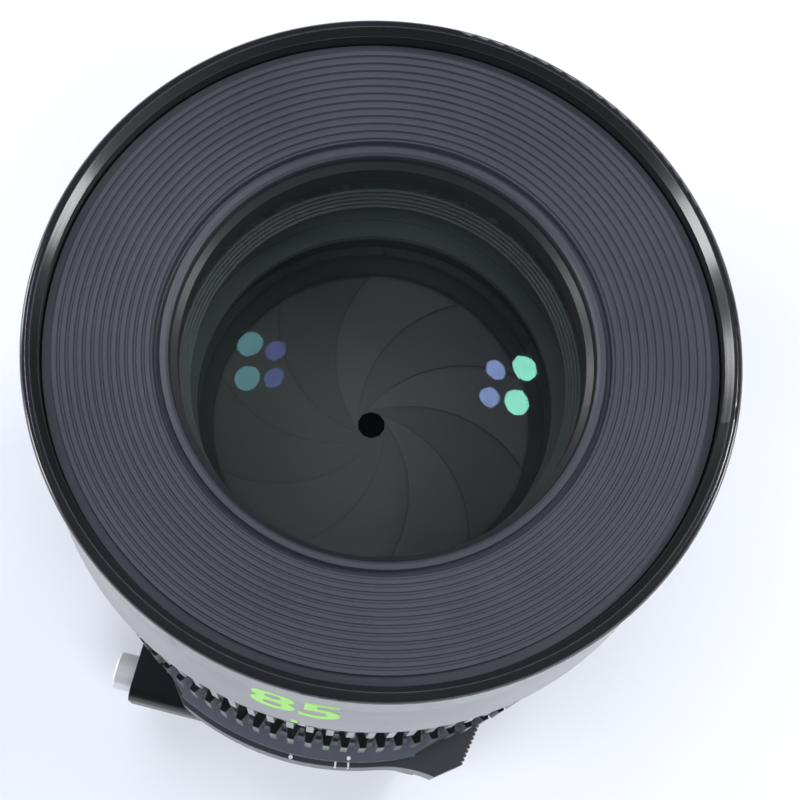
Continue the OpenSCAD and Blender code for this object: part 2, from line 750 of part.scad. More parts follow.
// Drive ring: a cam slot for each blade, and a sleeve that runs back to the iris ring
module iris_drive_ring() {
    overrun = 2;
    segments = 18;
    span = iris_turn + 2 * overrun;
    angles = [for (k = [0:segments]) k * span / segments - overrun];
    function across(a) = let (d = pin_path(a + 0.5) - pin_path(a - 0.5)) [-d[1], d[0]] / norm(d);
    half_w = drive_slot_w / 2;
    color("#2b2c30") difference() {
        union() {
            tube(drive_ring_r, 1.03 * aperture_r, drive_ring_z0, drive_ring_z0 + drive_ring_t);
            tube(drive_sleeve_r, drive_sleeve_in_r, drive_sleeve_z0, drive_ring_z0);
        }
        for (i = [0:blade_count - 1]) rotate([0, 0, i * blade_pitch])
            translate([0, 0, drive_ring_z0 - 0.4]) linear_extrude(drive_ring_t + 1)
                polygon(concat([for (a = angles) pin_path(a) + half_w * across(a)],
                    [for (k = [segments:-1:0]) pin_path(angles[k]) - half_w * across(angles[k])]));
        radial_rod(drive_sleeve_in_r - cut, drive_sleeve_r + cut,
            drive_pin_d + 2 * screw_clear, drive_pin_z, drive_pin_az);
    }
}

// Pin that joins the iris ring to the drive ring through the core's slot
module iris_drive_pin() {
    color("#b9bbbf")
        radial_rod(drive_sleeve_in_r - cell_clear, drive_pin_r1, drive_pin_d, drive_pin_z, drive_pin_az);
}

module iris_ring() {
    color("#1b1c1f") difference() {
        union() {
            tube(sleeve_r, ring_in_r, iris_ring_z0, iris_gear_z1);
            tube(scale_r, ring_in_r, iris_gear_z1, iris_ring_z1);
        }
        radial_rod(ring_in_r - cut, drive_pin_r1, drive_pin_d + 2 * screw_clear, drive_pin_z, drive_pin_az);
    }
}

module iris_gear() {
    color("#1b1c1f") drive_gear(iris_gear_z0);
}

module focus_ring() {
    color("#1b1c1f") difference() {
        union() {
            disc(scale_r, focus_ring_z0, focus_gear_z0);
            disc(sleeve_r, focus_gear_z0, focus_ring_z1);
        }
        disc(ring_in_r, focus_ring_z0 - cut, focus_ring_z1);
        disc(sleeve_in_r, cam_z0, focus_ring_z1 + cut);
    }
}

module focus_gear() {
    color("#1b1c1f") drive_gear(focus_gear_z0);
}

module focus_cover_ring() {
    color("#1b1c1f") tube(scale_r, gear_in_r, focus_gear_z1, focus_ring_z1);
}

// A helical channel through a ring wall, as a swept rectangle
module helix_cut(r0, r1, w, az0, az1, z0, z1) {
    steps = 60;
    rings = [for (i = [0:steps]) let (
        az = az0 + (az1 - az0) * i / steps,
        z = z0 + (z1 - z0) * i / steps
    ) each [[r0 * sin(az), -r0 * cos(az), z - w / 2], [r1 * sin(az), -r1 * cos(az), z - w / 2],
        [r1 * sin(az), -r1 * cos(az), z + w / 2], [r0 * sin(az), -r0 * cos(az), z + w / 2]]];
    sides = [for (i = [0:steps - 1]) for (k = [0:3]) let (a = 4 * i, n = (k + 1) % 4)
        each [[a + k, a + 4 + n, a + n], [a + k, a + 4 + k, a + 4 + n]]];
    last = 4 * steps;
    polyhedron(rings, concat(sides, [[1, 2, 3], [0, 1, 3],
        [last + 2, last + 1, last], [last + 3, last + 2, last]]));
}

// Cam ring: three helical slots that push the rollers along the axis
module focus_cam_ring() {
    overrun = 3;
    rise = focus_travel / focus_turn;
    color("#c9a45a") difference() {
        tube(cam_r, cam_in_r, cam_z0, cam_z1);
        around(roller_az) helix_cut(cam_in_r - cut, cam_r + cut, cam_slot_w,
            overrun, -focus_turn - overrun,
            roller_z - overrun * rise, roller_z + focus_travel + overrun * rise);
    }
}

module focus_cell() {
    color("#1b1c1f") difference() {
        disc(cell_r, cell_z0, cell_z0 + cell_h);
        disc(focus_open_r, cell_z0 - cut, cell_z0 + cell_h);
        disc(cell_inner_edge_r + fixed_clear, cell_z0 + cell_shelf_t, cell_z0 + cell_h);
        disc(cell_edge_r + fixed_clear, cell_z0 + cell_step_h, cell_z0 + cell_h + cut);
        around(roller_az) radial_rod(roller_r0, cell_r + cut, roller_d + 2 * screw_clear, roller_z, 0);
    }
}

module focus_element_front() {
    color("#20302c", 0.4)
        lens_element(cell_z0 + cell_step_h, cell_front_t, cell_edge_r, focus_clear_d / 2,
            focus_face_r, 0);
}

module focus_element_rear() {
    color("#20302c", 0.4)
        lens_element(cell_z0 + cell_shelf_t, cell_rear_t, cell_inner_edge_r, focus_clear_d / 2,
            0, -focus_face_r);
}

module focus_cell_ring() {
    color("#232428") tube(cell_edge_r, focus_open_r, cell_z0 + cell_h - cell_ring_t, cell_z0 + cell_h);
}

module focus_rollers() {
    color("#c9a45a") for (az = roller_az) radial_rod(roller_r0, roller_r1, roller_d, roller_z, az);
}

// Outline of the skirt's foot: a round body, and a pad over each lobe of the lock collar
module skirt_outline() {
    circle(r = skirt_r);
    for (turn = [0, 180]) rotate([0, 0, turn]) {
        intersection() {
            circle(r = pad_r);
            slice(pad_r, -pad_az, pad_az);
        }
        polygon([[0, 0], polar(skirt_r - 0.1, -pad_az - pad_ramp_az), polar(pad_r - 0.1, 1 - pad_az),
            polar(pad_r - 0.1, pad_az - 1), polar(skirt_r - 0.1, pad_az + pad_ramp_az)]);
    }
}

// Rear barrel: tapered skirt with the index, and the neck that holds the lens flange
module rear_barrel() {
    color("#1b1c1f") difference() {
        union() {
            disc(rear_neck_r, lens_flange_z1, skirt_z0 + pad_t);
            translate([0, 0, skirt_z0]) linear_extrude(pad_t) skirt_outline();
            translate([0, 0, skirt_z0]) cylinder(r1 = skirt_r - 0.2, r2 = skirt_top_r, h = skirt_h);
        }
        disc(rear_bore_r, lens_flange_z1 - cut, skirt_z1 + cut);
        disc(core_r + fixed_clear, barrel_z0, skirt_z1 + cut);
        around(skirt_screw_az)
            radial_rod(core_r - cut, skirt_r + cut, grub_d + 2 * screw_clear, skirt_screw_z, 0);
        around(flange_screw_az) translate([0, -flange_screw_r, lens_flange_z1 - cut])
            cylinder(d = mount_screw_d + 2 * screw_clear, h = mount_screw_len + cell_clear + cut, $fn = 24);
    }
}

module rear_cell() {
    color("#1b1c1f") difference() {
        union() {
            disc(rear_cell_r, rear_cell_z0, rear_cell_z1);
            disc(rear_flange_r, barrel_z0, barrel_z0 + rear_flange_t);
        }
        disc(rear_cell_bore_r, rear_cell_z0 - cut, rear_cell_z1 - rear_lip_t);
        disc(rear_open_r, rear_cell_z0, rear_cell_z1 + cut);
    }
}

module rear_cell_nut() {
    nut_z0 = barrel_z0 + rear_flange_t;
    color("#2b2c30") tube(rear_flange_r, rear_cell_r + fixed_clear, nut_z0, nut_z0 + rear_nut_t);
}

module rear_element_front() {
    color("#20302c", 0.4)
        lens_element(rear_z1, rear_edge_t, rear_edge_r, rear_clear_r, -rear_hollow_r, rear_bulge_r);
}

module rear_element_middle() {
    color("#20302c", 0.4)
        lens_element(rear_z2, rear_edge_t, rear_edge_r, rear_clear_r, 0, rear_bulge_r);
}

module rear_element_rear() {
    color("#20302c", 0.4)
        lens_element(rear_z3, rear_edge_t3, rear_edge_r, rear_clear_r, rear_bulge_r, -rear_hollow_r);
}

module rear_spacers() {
    spacer_in_r = rear_clear_r + 0.2 * rear_seat_w;
    color("#232428") {
        tube(rear_edge_r, spacer_in_r, rear_z3 + rear_edge_t3, rear_z2);
        tube(rear_edge_r, spacer_in_r, rear_z2 + rear_edge_t, rear_z1);
    }
}

module rear_retaining_ring() {
    color("#232428") tube(rear_edge_r, rear_open_r, rear_z3 - rear_ring_t, rear_z3);
}

// Lens flange: four tabs that the lock collar's lip grips
module lens_flange() {
    color("#c3c5c9") difference() {
        translate([0, 0, seat_z]) linear_extrude(lens_flange_t) difference() {
            union() {
                circle(r = between_r);
                for (i = [0:tab_count - 1]) rotate([0, 0, i * 360 / tab_count]) intersection() {
                    circle(r = tab_r);
                    slice(tab_r, -tab_angle / 2, tab_angle / 2);
                }
            }
            circle(r = flange_bore_r);
        }
        around(flange_screw_az) translate([0, -flange_screw_r, seat_z]) screw_sink(lens_flange_t);
    }
}

// Countersunk hole that opens downwards, and the screw that fills it
module screw_sink(depth) {
    sink_d = mount_head_d + 2 * screw_clear;
    hole_d2 = mount_screw_d + 2 * screw_clear;
    translate([0, 0, -cut]) cylinder(d = hole_d2, h = depth + 2 * cut, $fn = 24);
    cylinder(d1 = sink_d, d2 = hole_d2, h = mount_head_h + screw_clear, $fn = 24);
    translate([0, 0, -cut]) cylinder(d = sink_d, h = cut + 0.01, $fn = 24);
}

module sunk_screw(len) {
    difference() {
        union() {
            cylinder(d1 = mount_head_d, d2 = mount_screw_d, h = mount_head_h, $fn = 24);
            cylinder(d = mount_screw_d, h = len, $fn = 24);
        }
        translate([0, 0, -cut]) cylinder(d = 0.34 * mount_head_d, h = cut + 0.6, $fn = 6);
    }
}

module lens_flange_screws() {
    color("#8d8f94") around(flange_screw_az)
        translate([0, -flange_screw_r, seat_z]) sunk_screw(lens_flange_t + mount_screw_len);
}

// Outline of the lock collar: a round base, two lobes, and a thumb wing at one end of each lobe
module collar_outline() {
    circle(r = collar_base_r);
    for (turn = [0, 180]) rotate([0, 0, turn]) {
        intersection() {
            circle(r = lobe_r);
            slice(lobe_r, lobe_az0, lobe_az1);
        }
        polygon([polar(collar_base_r - 1, lobe_az0 - 10), polar(collar_base_r - 0.1, lobe_az0 - 10),
            polar(lobe_r, lobe_az0), polar(collar_base_r - 1, lobe_az0 + 2)]);
        collar_wing();
    }
}

module collar_wing() {
    corner = polar(wing_corner_r, wing_corner_az);
    end = polar(collar_base_r - 0.4, wing_end_az);
    along = (end - corner) / norm(end - corner);
    across = [-along[1], along[0]];
    teeth = floor(norm(end - corner) / grip_pitch);
    difference() {
        polygon([polar(collar_base_r - 2, wing_base_az - 4), polar(lobe_r, wing_base_az),
            polar(wing_r, wing_tip_az), corner, end, polar(collar_base_r - 2, wing_end_az)]);
        translate(polar(lobe_r + fillet_r, wing_base_az)) circle(r = fillet_r);
        for (k = [0:teeth - 1]) let (p = corner + (k + 0.5) * grip_pitch * along)
            polygon([p - 0.42 * grip_pitch * along - 0.2 * across, p + grip_depth * across,
                p + 0.42 * grip_pitch * along - 0.2 * across]);
    }
}

// Lock collar: turns on the housing's neck, and its lip draws the lens flange down
module lock_collar() {
    gap_angle = 360 / tab_count - lip_angle;
    color("#17181b") difference() {
        translate([0, 0, collar_z0]) linear_extrude(collar_z1 - collar_z0) collar_outline();
        disc(groove_r, collar_z0 - cut, lip_z);
        disc(lip_bore_r, collar_z0 - cut, collar_z1 + cut);
        translate([0, 0, lip_z - cut]) linear_extrude(collar_lip_t + 2 * cut)
            for (i = [0:tab_count - 1]) rotate([0, 0, (i + 0.5) * 360 / tab_count]) intersection() {
                circle(r = tab_r + 0.5);
                slice(tab_r + 0.5, -gap_angle / 2, gap_angle / 2);
            }
        around(collar_screw_az)
            radial_rod(neck_lip_r - collar_grub_depth, lobe_r + cut,
                collar_grub_d + 2 * screw_clear, collar_screw_z, 0);
    }
}

module collar_keeper() {
    color("#232428") difference() {
        tube(groove_r - fixed_clear, neck_r + cell_clear, collar_z0, collar_z0 + keeper_t);
        around(collar_screw_az)
            radial_rod(neck_lip_r - collar_grub_depth, groove_r + cut,
                collar_grub_d + 2 * screw_clear, collar_screw_z, 0);
    }
}

module collar_screws() {
    color("#55565a") for (az = collar_screw_az)
        radial_rod(neck_lip_r - collar_grub_depth, collar_base_r - cell_clear,
            collar_grub_d, collar_screw_z, az);
}

// Mount housing: seat for the lens flange above, slot for the filter tray, camera bayonet below
module mount_housing() {
    slot_r = tray_r + slide_gap;
    color("#17181b") difference() {
        union() {
            disc(housing_r, housing_z0, housing_z1);
            disc(neck_r, housing_z1, seat_z);
            disc(neck_lip_r, neck_lip_z0, seat_z);
        }
        disc(flange_bore_r, slot_z0, seat_z + cut);
        disc(throat_r + cut, housing_z0 - cut, seat_z);
        disc(slot_r, slot_z0, slot_z1);
        translate([-slot_r, -housing_r - 1, slot_z0]) cube([2 * slot_r, housing_r + 1, slot_z1 - slot_z0]);
        translate([-housing_r - 1, -housing_r - 1, housing_z0 - cut])
            cube([2 * housing_r + 2, housing_r + 1 - flat_y, housing_z1 - housing_z0 + cut]);
        around(mount_screw_az) translate([0, -mount_screw_r, housing_z0 - cut])
            cylinder(d = mount_screw_d + 2 * screw_clear, h = floor_t - cell_clear + cut, $fn = 24);
    }
}

// Camera bayonet: flange, sleeve and three tabs that hook behind the camera's own ring
module bayonet_mount() {
    tab_t = 1.4;
    tab_z0 = -bayonet_h + 0.4;
    tab_span = 52;
    color("#c9cbcf") difference() {
        union() {
            disc(plate_r, 0, plate_t);
            disc(bayonet_r, -bayonet_h, plate_t);
            translate([0, 0, tab_z0]) linear_extrude(tab_t)
                for (az = [0, 120, 240]) rotate([0, 0, az]) intersection() {
                    circle(r = bayonet_tab_r);
                    slice(bayonet_tab_r, -tab_span / 2, tab_span / 2);
                }
        }
        disc(throat_r, -bayonet_h - cut, plate_t + cut);
        disc(throat_r + mask_w + pin_clear, plate_t - mask_t, plate_t + cut);
        around(mount_screw_az) translate([0, -mount_screw_r, 0]) screw_sink(plate_t);
        rotate([0, 0, 60]) translate([0, -mount_screw_r, -cut]) cylinder(d = 2, h = 2 + cut, $fn = 32);
    }
}

module bayonet_screws() {
    color("#8d8f94") around(mount_screw_az)
        translate([0, -mount_screw_r, 0]) sunk_screw(plate_t + floor_t - collar_gap);
}

// Thin plate whose window keeps stray light off the sensor's surround
module light_mask() {
    window = [1.66 * throat_r, 1.12 * throat_r];
    color("#101113") difference() {
        disc(throat_r + mask_w, plate_t - mask_t, plate_t);
        translate([-window[0] / 2, -window[1] / 2, plate_t - mask_t - cut])
            cube([window[0], window[1], mask_t + 2 * cut]);
    }
}

// Filter tray: a round-ended plate that slides out towards -Y
module filter_tray() {
    color("#1b1c1f") difference() {
        union() {
            disc(tray_r, tray_z0, tray_z1);
            translate([-tray_r, -handle_y, tray_z0]) cube([2 * tray_r, handle_y, tray_t]);
        }
        disc(throat_r, tray_z0 - cut, tray_z1 + cut);
        disc(recess_r, filter_z0, tray_z1 + cut);
        for (x = [-tray_screw_x, tray_screw_x]) translate([x, -handle_y - cut, button_z]) rotate([-90, 0, 0])
            cylinder(d = mount_screw_d + 2 * screw_clear, h = tray_screw_len + cut, $fn = 24);
    }
}

module tray_filter() {
    color("#3b4a52", 0.45) disc(filter_r, filter_z0, filter_z0 + filter_t);
}

module tray_filter_ring() {
    ring_z0 = filter_z0 + filter_t;
    color("#2b2c30") tube(filter_r, throat_r + cell_clear, ring_z0, ring_z0 + filter_ring_t);
}

// Profile of the handle: square at the back, round at the two outer edges
module handle_profile() {
    h = handle_z1 - handle_z0;
    square([handle_depth - handle_round, h]);
    translate([0, handle_round]) square([handle_depth, h - 2 * handle_round]);
    for (y = [handle_round, h - handle_round])
        translate([handle_depth - handle_round, y]) circle(r = handle_round, $fn = 48);
}

module tray_handle() {
    color("#17181b") difference() {
        translate([-handle_left, -handle_y, handle_z0]) rotate([90, 0, 90]) mirror([1, 0, 0])
            linear_extrude(handle_left + handle_right) handle_profile();
        translate([-handle_left - cut, -button_y, button_z]) rotate([0, 90, 0])
            cylinder(r = button_bore_r, h = handle_left - button_bore_end + cut);
        for (x = [-tray_screw_x, tray_screw_x])
            translate([x, -handle_y - handle_depth, button_z]) rotate([-90, 0, 0]) {
            translate([0, 0, -cut])
                cylinder(d = mount_screw_d + 2 * screw_clear, h = handle_depth + 2 * cut, $fn = 24);
            translate([0, 0, -cut]) cylinder(d = mount_head_d + 0.4, h = tray_screw_sink + cut, $fn = 32);
        }
    }
}

module tray_screws() {
    head_y = handle_y + handle_depth - tray_screw_sink;
    color("#55565a") for (x = [-tray_screw_x, tray_screw_x])
        translate([x, -head_y, button_z]) rotate([-90, 0, 0]) {
        cylinder(d = mount_screw_d, $fn = 24,
            h = handle_depth - tray_screw_sink + tray_screw_len - collar_gap);
        difference() {
            translate([0, 0, -tray_head_h]) cylinder(d = mount_head_d, h = tray_head_h, $fn = 32);
            translate([0, 0, -tray_head_h - cut])
                cylinder(d = 0.45 * mount_head_d, h = 0.5 * tray_head_h + cut, $fn = 6);
        }
    }
}

// Spring behind the release button, as one coiled wire
module release_spring() {
    turns = 3.5;
    sides = 6;
    rings = 28;
    coil_r = button_r - 0.6;
    wire_r = spring_d / 2;
    x0 = -button_bore_end - wire_r - 0.02;
    pitch = (spring_len - spring_d) / turns;
    points = [for (i = [0:rings]) let (a = 360 * turns * i / rings)
        for (k = [0:sides - 1]) let (b = 360 * k / sides, r = coil_r + wire_r * cos(b))
            [x0 - pitch * a / 360 - wire_r * sin(b), r * cos(a) - button_y, r * sin(a) + button_z]];
    skin = [for (i = [0:rings - 1]) for (k = [0:sides - 1])
        let (p = i * sides + k, q = i * sides + (k + 1) % sides)
            each [[p, q, q + sides], [p, q + sides, p + sides]]];
    start = [for (k = [1:sides - 2]) [0, k + 1, k]];
    last = rings * sides;
    finish = [for (k = [1:sides - 2]) [last, last + k, last + k + 1]];
    color("#b9bbbf") polyhedron(points, concat(skin, start, finish));
}

// Release button: a bright pin in the latch end of the handle, with a chamfered end
module release_button() {
    chamfer = 0.3;
    color("#d4d6da") translate([-handle_left - button_out, -button_y, button_z]) rotate([0, 90, 0]) {
        cylinder(r1 = button_r - chamfer, r2 = button_r, h = chamfer);
        translate([0, 0, chamfer]) cylinder(r = button_r, h = button_out + button_in - chamfer);
    }
}

front_barrel();
front_baffle();
front_retaining_ring();
front_cell();
front_element();
barrel_lock_ring();
front_cell_screws();
main_barrel();
index_ring();
grub_screws();
iris_base_plate();
iris_retaining_ring();
rear_barrel();
rear_cell();
rear_cell_nut();
rear_element_front();
rear_element_middle();
rear_element_rear();
rear_spacers();
rear_retaining_ring();
lens_flange();
lens_flange_screws();
mount_housing();
bayonet_mount();
bayonet_screws();
light_mask();
focus_ring();
focus_gear();
focus_cover_ring();
focus_cam_ring();
focus_cell();
focus_element_front();
focus_element_rear();
focus_cell_ring();
focus_rollers();
iris_ring();
iris_gear();
iris_drive_ring();
iris_drive_pin();
iris_blade(0);  // iris_blade_01
iris_blade(1);  // iris_blade_02
iris_blade(2);  // iris_blade_03
iris_blade(3);  // iris_blade_04
iris_blade(4);  // iris_blade_05
iris_blade(5);  // iris_blade_06
iris_blade(6);  // iris_blade_07
iris_blade(7);  // iris_blade_08
iris_blade(8);  // iris_blade_09
iris_blade(9);  // iris_blade_10
lock_collar();
collar_keeper();
collar_screws();
filter_tray();
tray_filter();
tray_filter_ring();
tray_handle();
tray_screws();
release_spring();
release_button();
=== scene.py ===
"""Looks of a cinema prime lens: finishes, glass, painted scales, studio and camera."""

import math

import bmesh
import bpy
from bpy.props import FloatProperty, FloatVectorProperty, PointerProperty
from mathutils import Matrix, Vector


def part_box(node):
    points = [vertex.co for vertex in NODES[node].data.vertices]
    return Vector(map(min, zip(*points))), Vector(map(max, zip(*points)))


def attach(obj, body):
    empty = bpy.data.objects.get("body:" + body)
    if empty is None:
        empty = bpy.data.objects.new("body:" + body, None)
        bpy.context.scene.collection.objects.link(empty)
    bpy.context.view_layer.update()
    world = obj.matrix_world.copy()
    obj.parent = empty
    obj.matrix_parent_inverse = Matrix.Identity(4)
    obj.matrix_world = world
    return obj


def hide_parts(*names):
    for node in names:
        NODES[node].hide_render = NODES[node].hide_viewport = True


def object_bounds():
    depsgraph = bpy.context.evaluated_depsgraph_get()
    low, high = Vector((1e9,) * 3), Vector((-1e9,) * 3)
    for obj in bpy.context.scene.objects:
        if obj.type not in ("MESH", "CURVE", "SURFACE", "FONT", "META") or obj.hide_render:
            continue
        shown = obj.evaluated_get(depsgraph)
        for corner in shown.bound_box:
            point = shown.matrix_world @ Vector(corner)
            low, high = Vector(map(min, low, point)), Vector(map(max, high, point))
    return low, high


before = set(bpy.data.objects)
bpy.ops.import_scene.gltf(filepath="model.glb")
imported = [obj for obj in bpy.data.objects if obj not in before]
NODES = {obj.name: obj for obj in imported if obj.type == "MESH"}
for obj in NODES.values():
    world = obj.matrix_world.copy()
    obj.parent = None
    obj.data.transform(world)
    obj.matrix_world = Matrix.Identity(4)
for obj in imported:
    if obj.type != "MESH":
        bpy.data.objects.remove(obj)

bl_info = {
    "name": "Cinema prime lens",
    "version": (1, 0, 0),
    "blender": (4, 5, 0),
    "location": "View3D > Sidebar > Lens",
    "description": "Dresses the packed lens with finishes, scales, a studio and a camera",
    "category": "Object",
}

CAD_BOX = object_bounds()
MM = 0.001
BLADES = sorted(name for name in NODES if name.startswith("iris_blade"))
PAINT_DEPTH = 0.04 * MM
PAINT_STRIP = 0.4 * MM
# Pale metal: the colour of worn edges, and of the painted sheen on upright faces
BARE_METAL_AND_SHEEN = "#b4b7bd"


def top(node):
    """Highest Z of a CAD node at rest."""
    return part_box(node)[1].z


def foot(node):
    """Lowest Z of a CAD node at rest."""
    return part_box(node)[0].z


def reach(node):
    """Largest radius of a round CAD node."""
    return max(Vector((v.co.x, v.co.y)).length for v in NODES[node].data.vertices)


def linear(code):
    """Turn an sRGB hex value into linear red, green and blue."""
    values = [int(code[i : i + 2], 16) / 255 for i in (1, 3, 5)]
    return [v / 12.92 if v <= 0.04045 else ((v + 0.055) / 1.055) ** 2.4 for v in values]


def rgba(colour):
    """A colour property as the four numbers that a socket takes."""
    return (*colour, 1.0)


def add(tree, kind, inputs=None, **settings):
    """Add a node, set its properties, and set or link its inputs."""
    node = tree.nodes.new(kind)
    for name, value in settings.items():
        setattr(node, name, value)
    for key, value in (inputs or {}).items():
        if isinstance(value, bpy.types.NodeSocket):
            tree.links.new(value, node.inputs[key])
        else:
            node.inputs[key].default_value = value
    return node


def new_material(name):
    """An empty material and its node tree."""
    material = bpy.data.materials.new(name)
    material.use_nodes = True
    material.node_tree.nodes.clear()
    return material, material.node_tree


def dress(names, material):
    """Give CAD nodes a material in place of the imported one."""
    for name in names:
        slots = NODES[name].data.materials
        slots.clear()
        slots.append(material)


def anodised_aluminium(name, colour, roughness, grit, lathe_pitch, relief, wear=0.0, painted_upright_sheen=0.0):
    """Machined aluminium, dyed in the oxide bath: a hard satin film over fine tool lines.

    The oxide reflects like a clear ceramic, so walls seen along the surface turn silver, and
    handling rubs the dye thin along sharp edges. Grit, lathe pitch and relief are in mm, drawn
    coarser than the real ones so that they show. Wear pales the edges, and a painted sheen pales
    the upright faces, standing in for the bright table that they would reflect.
    """
    material, tree = new_material(name)
    place = add(tree, "ShaderNodeTexCoord").outputs["Object"]
    grain = add(
        tree, "ShaderNodeTexNoise", {"Vector": place, "Scale": 1 / (grit * MM), "Detail": 3.0}
    )
    smudge = add(
        tree, "ShaderNodeTexNoise", {"Vector": place, "Scale": 1 / (14 * MM), "Detail": 4.0}
    )
    # A wave node repeats every 2 pi / 20 units at scale 1
    waves = {"Vector": place, "Scale": math.pi / 10 / (lathe_pitch * MM), "Distortion": 0.3}
    walls = add(tree, "ShaderNodeTexWave", waves, bands_direction="Z")
    faces = add(tree, "ShaderNodeTexWave", waves, wave_type="RINGS", rings_direction="Z")
    lines = add(
        tree, "ShaderNodeMath", {0: walls.outputs["Fac"], 1: faces.outputs["Fac"]}, operation="ADD"
    )
    height = add(
        tree,
        "ShaderNodeMath",
        {0: lines.outputs[0], 1: 0.35, 2: grain.outputs["Fac"]},
        operation="MULTIPLY_ADD",
    )
    bump = add(
        tree,
        "ShaderNodeBump",
        {"Strength": 0.35, "Distance": relief * MM, "Height": height.outputs[0]},
    )
    rough = add(
        tree,
        "ShaderNodeMapRange",
        {
            "Value": smudge.outputs["Fac"],
            "From Min": 0.3,
            "From Max": 0.7,
            "To Min": roughness - 0.03,
            "To Max": roughness + 0.03,
        },
    )
    shade = add(tree, "ShaderNodeValToRGB", {"Fac": smudge.outputs["Fac"]})
    shade.color_ramp.elements[0].position = 0.35
    shade.color_ramp.elements[0].color = rgba([c * 0.93 for c in colour])
    shade.color_ramp.elements[1].position = 0.7
    shade.color_ramp.elements[1].color = rgba([c * 1.07 for c in colour])
    base = shade.outputs["Color"]
    if wear:
        # Where the rounded normal leaves the true one there is an edge
        edge = add(tree, "ShaderNodeBevel", {"Radius": 0.25 * MM}, samples=4)
        flat = add(tree, "ShaderNodeNewGeometry")
        bend = add(
            tree,
            "ShaderNodeVectorMath",
            {0: edge.outputs[0], 1: flat.outputs["Normal"]},
            operation="DOT_PRODUCT",
        )
        rubbed = add(
            tree,
            "ShaderNodeMapRange",
            {
                "Value": bend.outputs["Value"],
                "From Min": 0.98,
                "From Max": 0.8,
                "To Max": wear,
            },
        )
        patchy = add(
            tree,
            "ShaderNodeMath",
            {0: rubbed.outputs[0], 1: smudge.outputs["Fac"]},
            operation="MULTIPLY",
        )
        pale = add(
            tree,
            "ShaderNodeMixRGB",
            {0: patchy.outputs[0], 1: base, 2: rgba(linear(BARE_METAL_AND_SHEEN))},
        )
        base = pale.outputs[0]
    if painted_upright_sheen:
        # Painted sheen: upright faces, such as the flanks and lands of gear teeth, are paled
        # towards bare metal as if they mirrored the bright table, while the ends of the teeth stay
        # black
        facing = add(tree, "ShaderNodeNewGeometry").outputs["Normal"]
        lean = add(
            tree,
            "ShaderNodeMath",
            {0: add(tree, "ShaderNodeSeparateXYZ", {0: facing}).outputs["Z"]},
            operation="ABSOLUTE",
        )
        upright = add(
            tree,
            "ShaderNodeMapRange",
            {"Value": lean.outputs[0], "From Min": 0.6, "From Max": 0.3, "To Max": painted_upright_sheen},
        )
        bare = add(
            tree,
            "ShaderNodeMixRGB",
            {0: upright.outputs[0], 1: base, 2: rgba(linear(BARE_METAL_AND_SHEEN))},
        )
        base = bare.outputs[0]
    surface = add(
        tree,
        "ShaderNodeBsdfPrincipled",
        {
            "Base Color": base,
            "Roughness": rough.outputs[0],
            "Normal": bump.outputs[0],
            "IOR": 1.7,
        },
    )
    add(tree, "ShaderNodeOutputMaterial", {"Surface": surface.outputs[0]})
    return material


def coated_glass(name, outer_tint, inner_tint, body_tint):
    """Polished optical glass with an antireflection film: nearly clear, with coloured glints.

    The film takes away part of the glint that bare glass would give and tints the rest. The glass
    doesn't bend light here, so the iris is seen where it is.
    """
    material, tree = new_material(name)
    side = add(tree, "ShaderNodeNewGeometry")
    # On the way out the Fresnel node inverts the index, and would mirror steep light that real
    # glass bends through. The inverse fed in on that side undoes it.
    crown = 1.5
    index = add(
        tree,
        "ShaderNodeMapRange",
        {"Value": side.outputs["Backfacing"], "To Min": crown, "To Max": 1 / crown},
    )
    film = add(tree, "ShaderNodeFresnel", {"IOR": index.outputs[0]})
    tint = add(
        tree,
        "ShaderNodeMixRGB",
        {0: side.outputs["Backfacing"], 1: rgba(outer_tint), 2: rgba(inner_tint)},
    )
    clear = add(tree, "ShaderNodeBsdfTransparent", {"Color": rgba(body_tint)})
    glint = add(tree, "ShaderNodeBsdfGlossy", {"Color": tint.outputs[0], "Roughness": 0.03})
    surface = add(
        tree,
        "ShaderNodeMixShader",
        {0: film.outputs[0], 1: clear.outputs[0], 2: glint.outputs[0]},
    )
    add(tree, "ShaderNodeOutputMaterial", {"Surface": surface.outputs[0]})
    return material


def spring_steel(name, colour):
    """Thin blackened spring steel: a dull dark sheet, each blade its own tone, painted shade at
    laps.

    The marks of rolling are drawn coarser than the real ones so that they show.
    """
    material, tree = new_material(name)
    place = add(tree, "ShaderNodeTexCoord").outputs["Object"]
    rolled = add(
        tree, "ShaderNodeTexNoise", {"Vector": place, "Scale": 1 / (1.5 * MM), "Detail": 4.0}
    )
    blade = add(tree, "ShaderNodeObjectInfo")
    # Painted shade: ambient occlusion darkens the steel's colour where one blade laps over another
    lap = add(
        tree, "ShaderNodeAmbientOcclusion", {"Color": rgba(colour), "Distance": 0.8 * MM}, samples=4
    )
    tone = add(
        tree,
        "ShaderNodeMapRange",
        {"Value": blade.outputs["Random"], "To Min": 0.86, "To Max": 1.14},
    )
    base = add(
        tree,
        "ShaderNodeVectorMath",
        {0: lap.outputs["Color"], "Scale": tone.outputs[0]},
        operation="SCALE",
    )
    rough = add(
        tree,
        "ShaderNodeMapRange",
        {"Value": rolled.outputs["Fac"], "To Min": 0.42, "To Max": 0.62},
    )
    surface = add(
        tree,
        "ShaderNodeBsdfPrincipled",
        {"Base Color": base.outputs[0], "Metallic": 0.3, "Roughness": rough.outputs[0]},
    )
    add(tree, "ShaderNodeOutputMaterial", {"Surface": surface.outputs[0]})
    return material


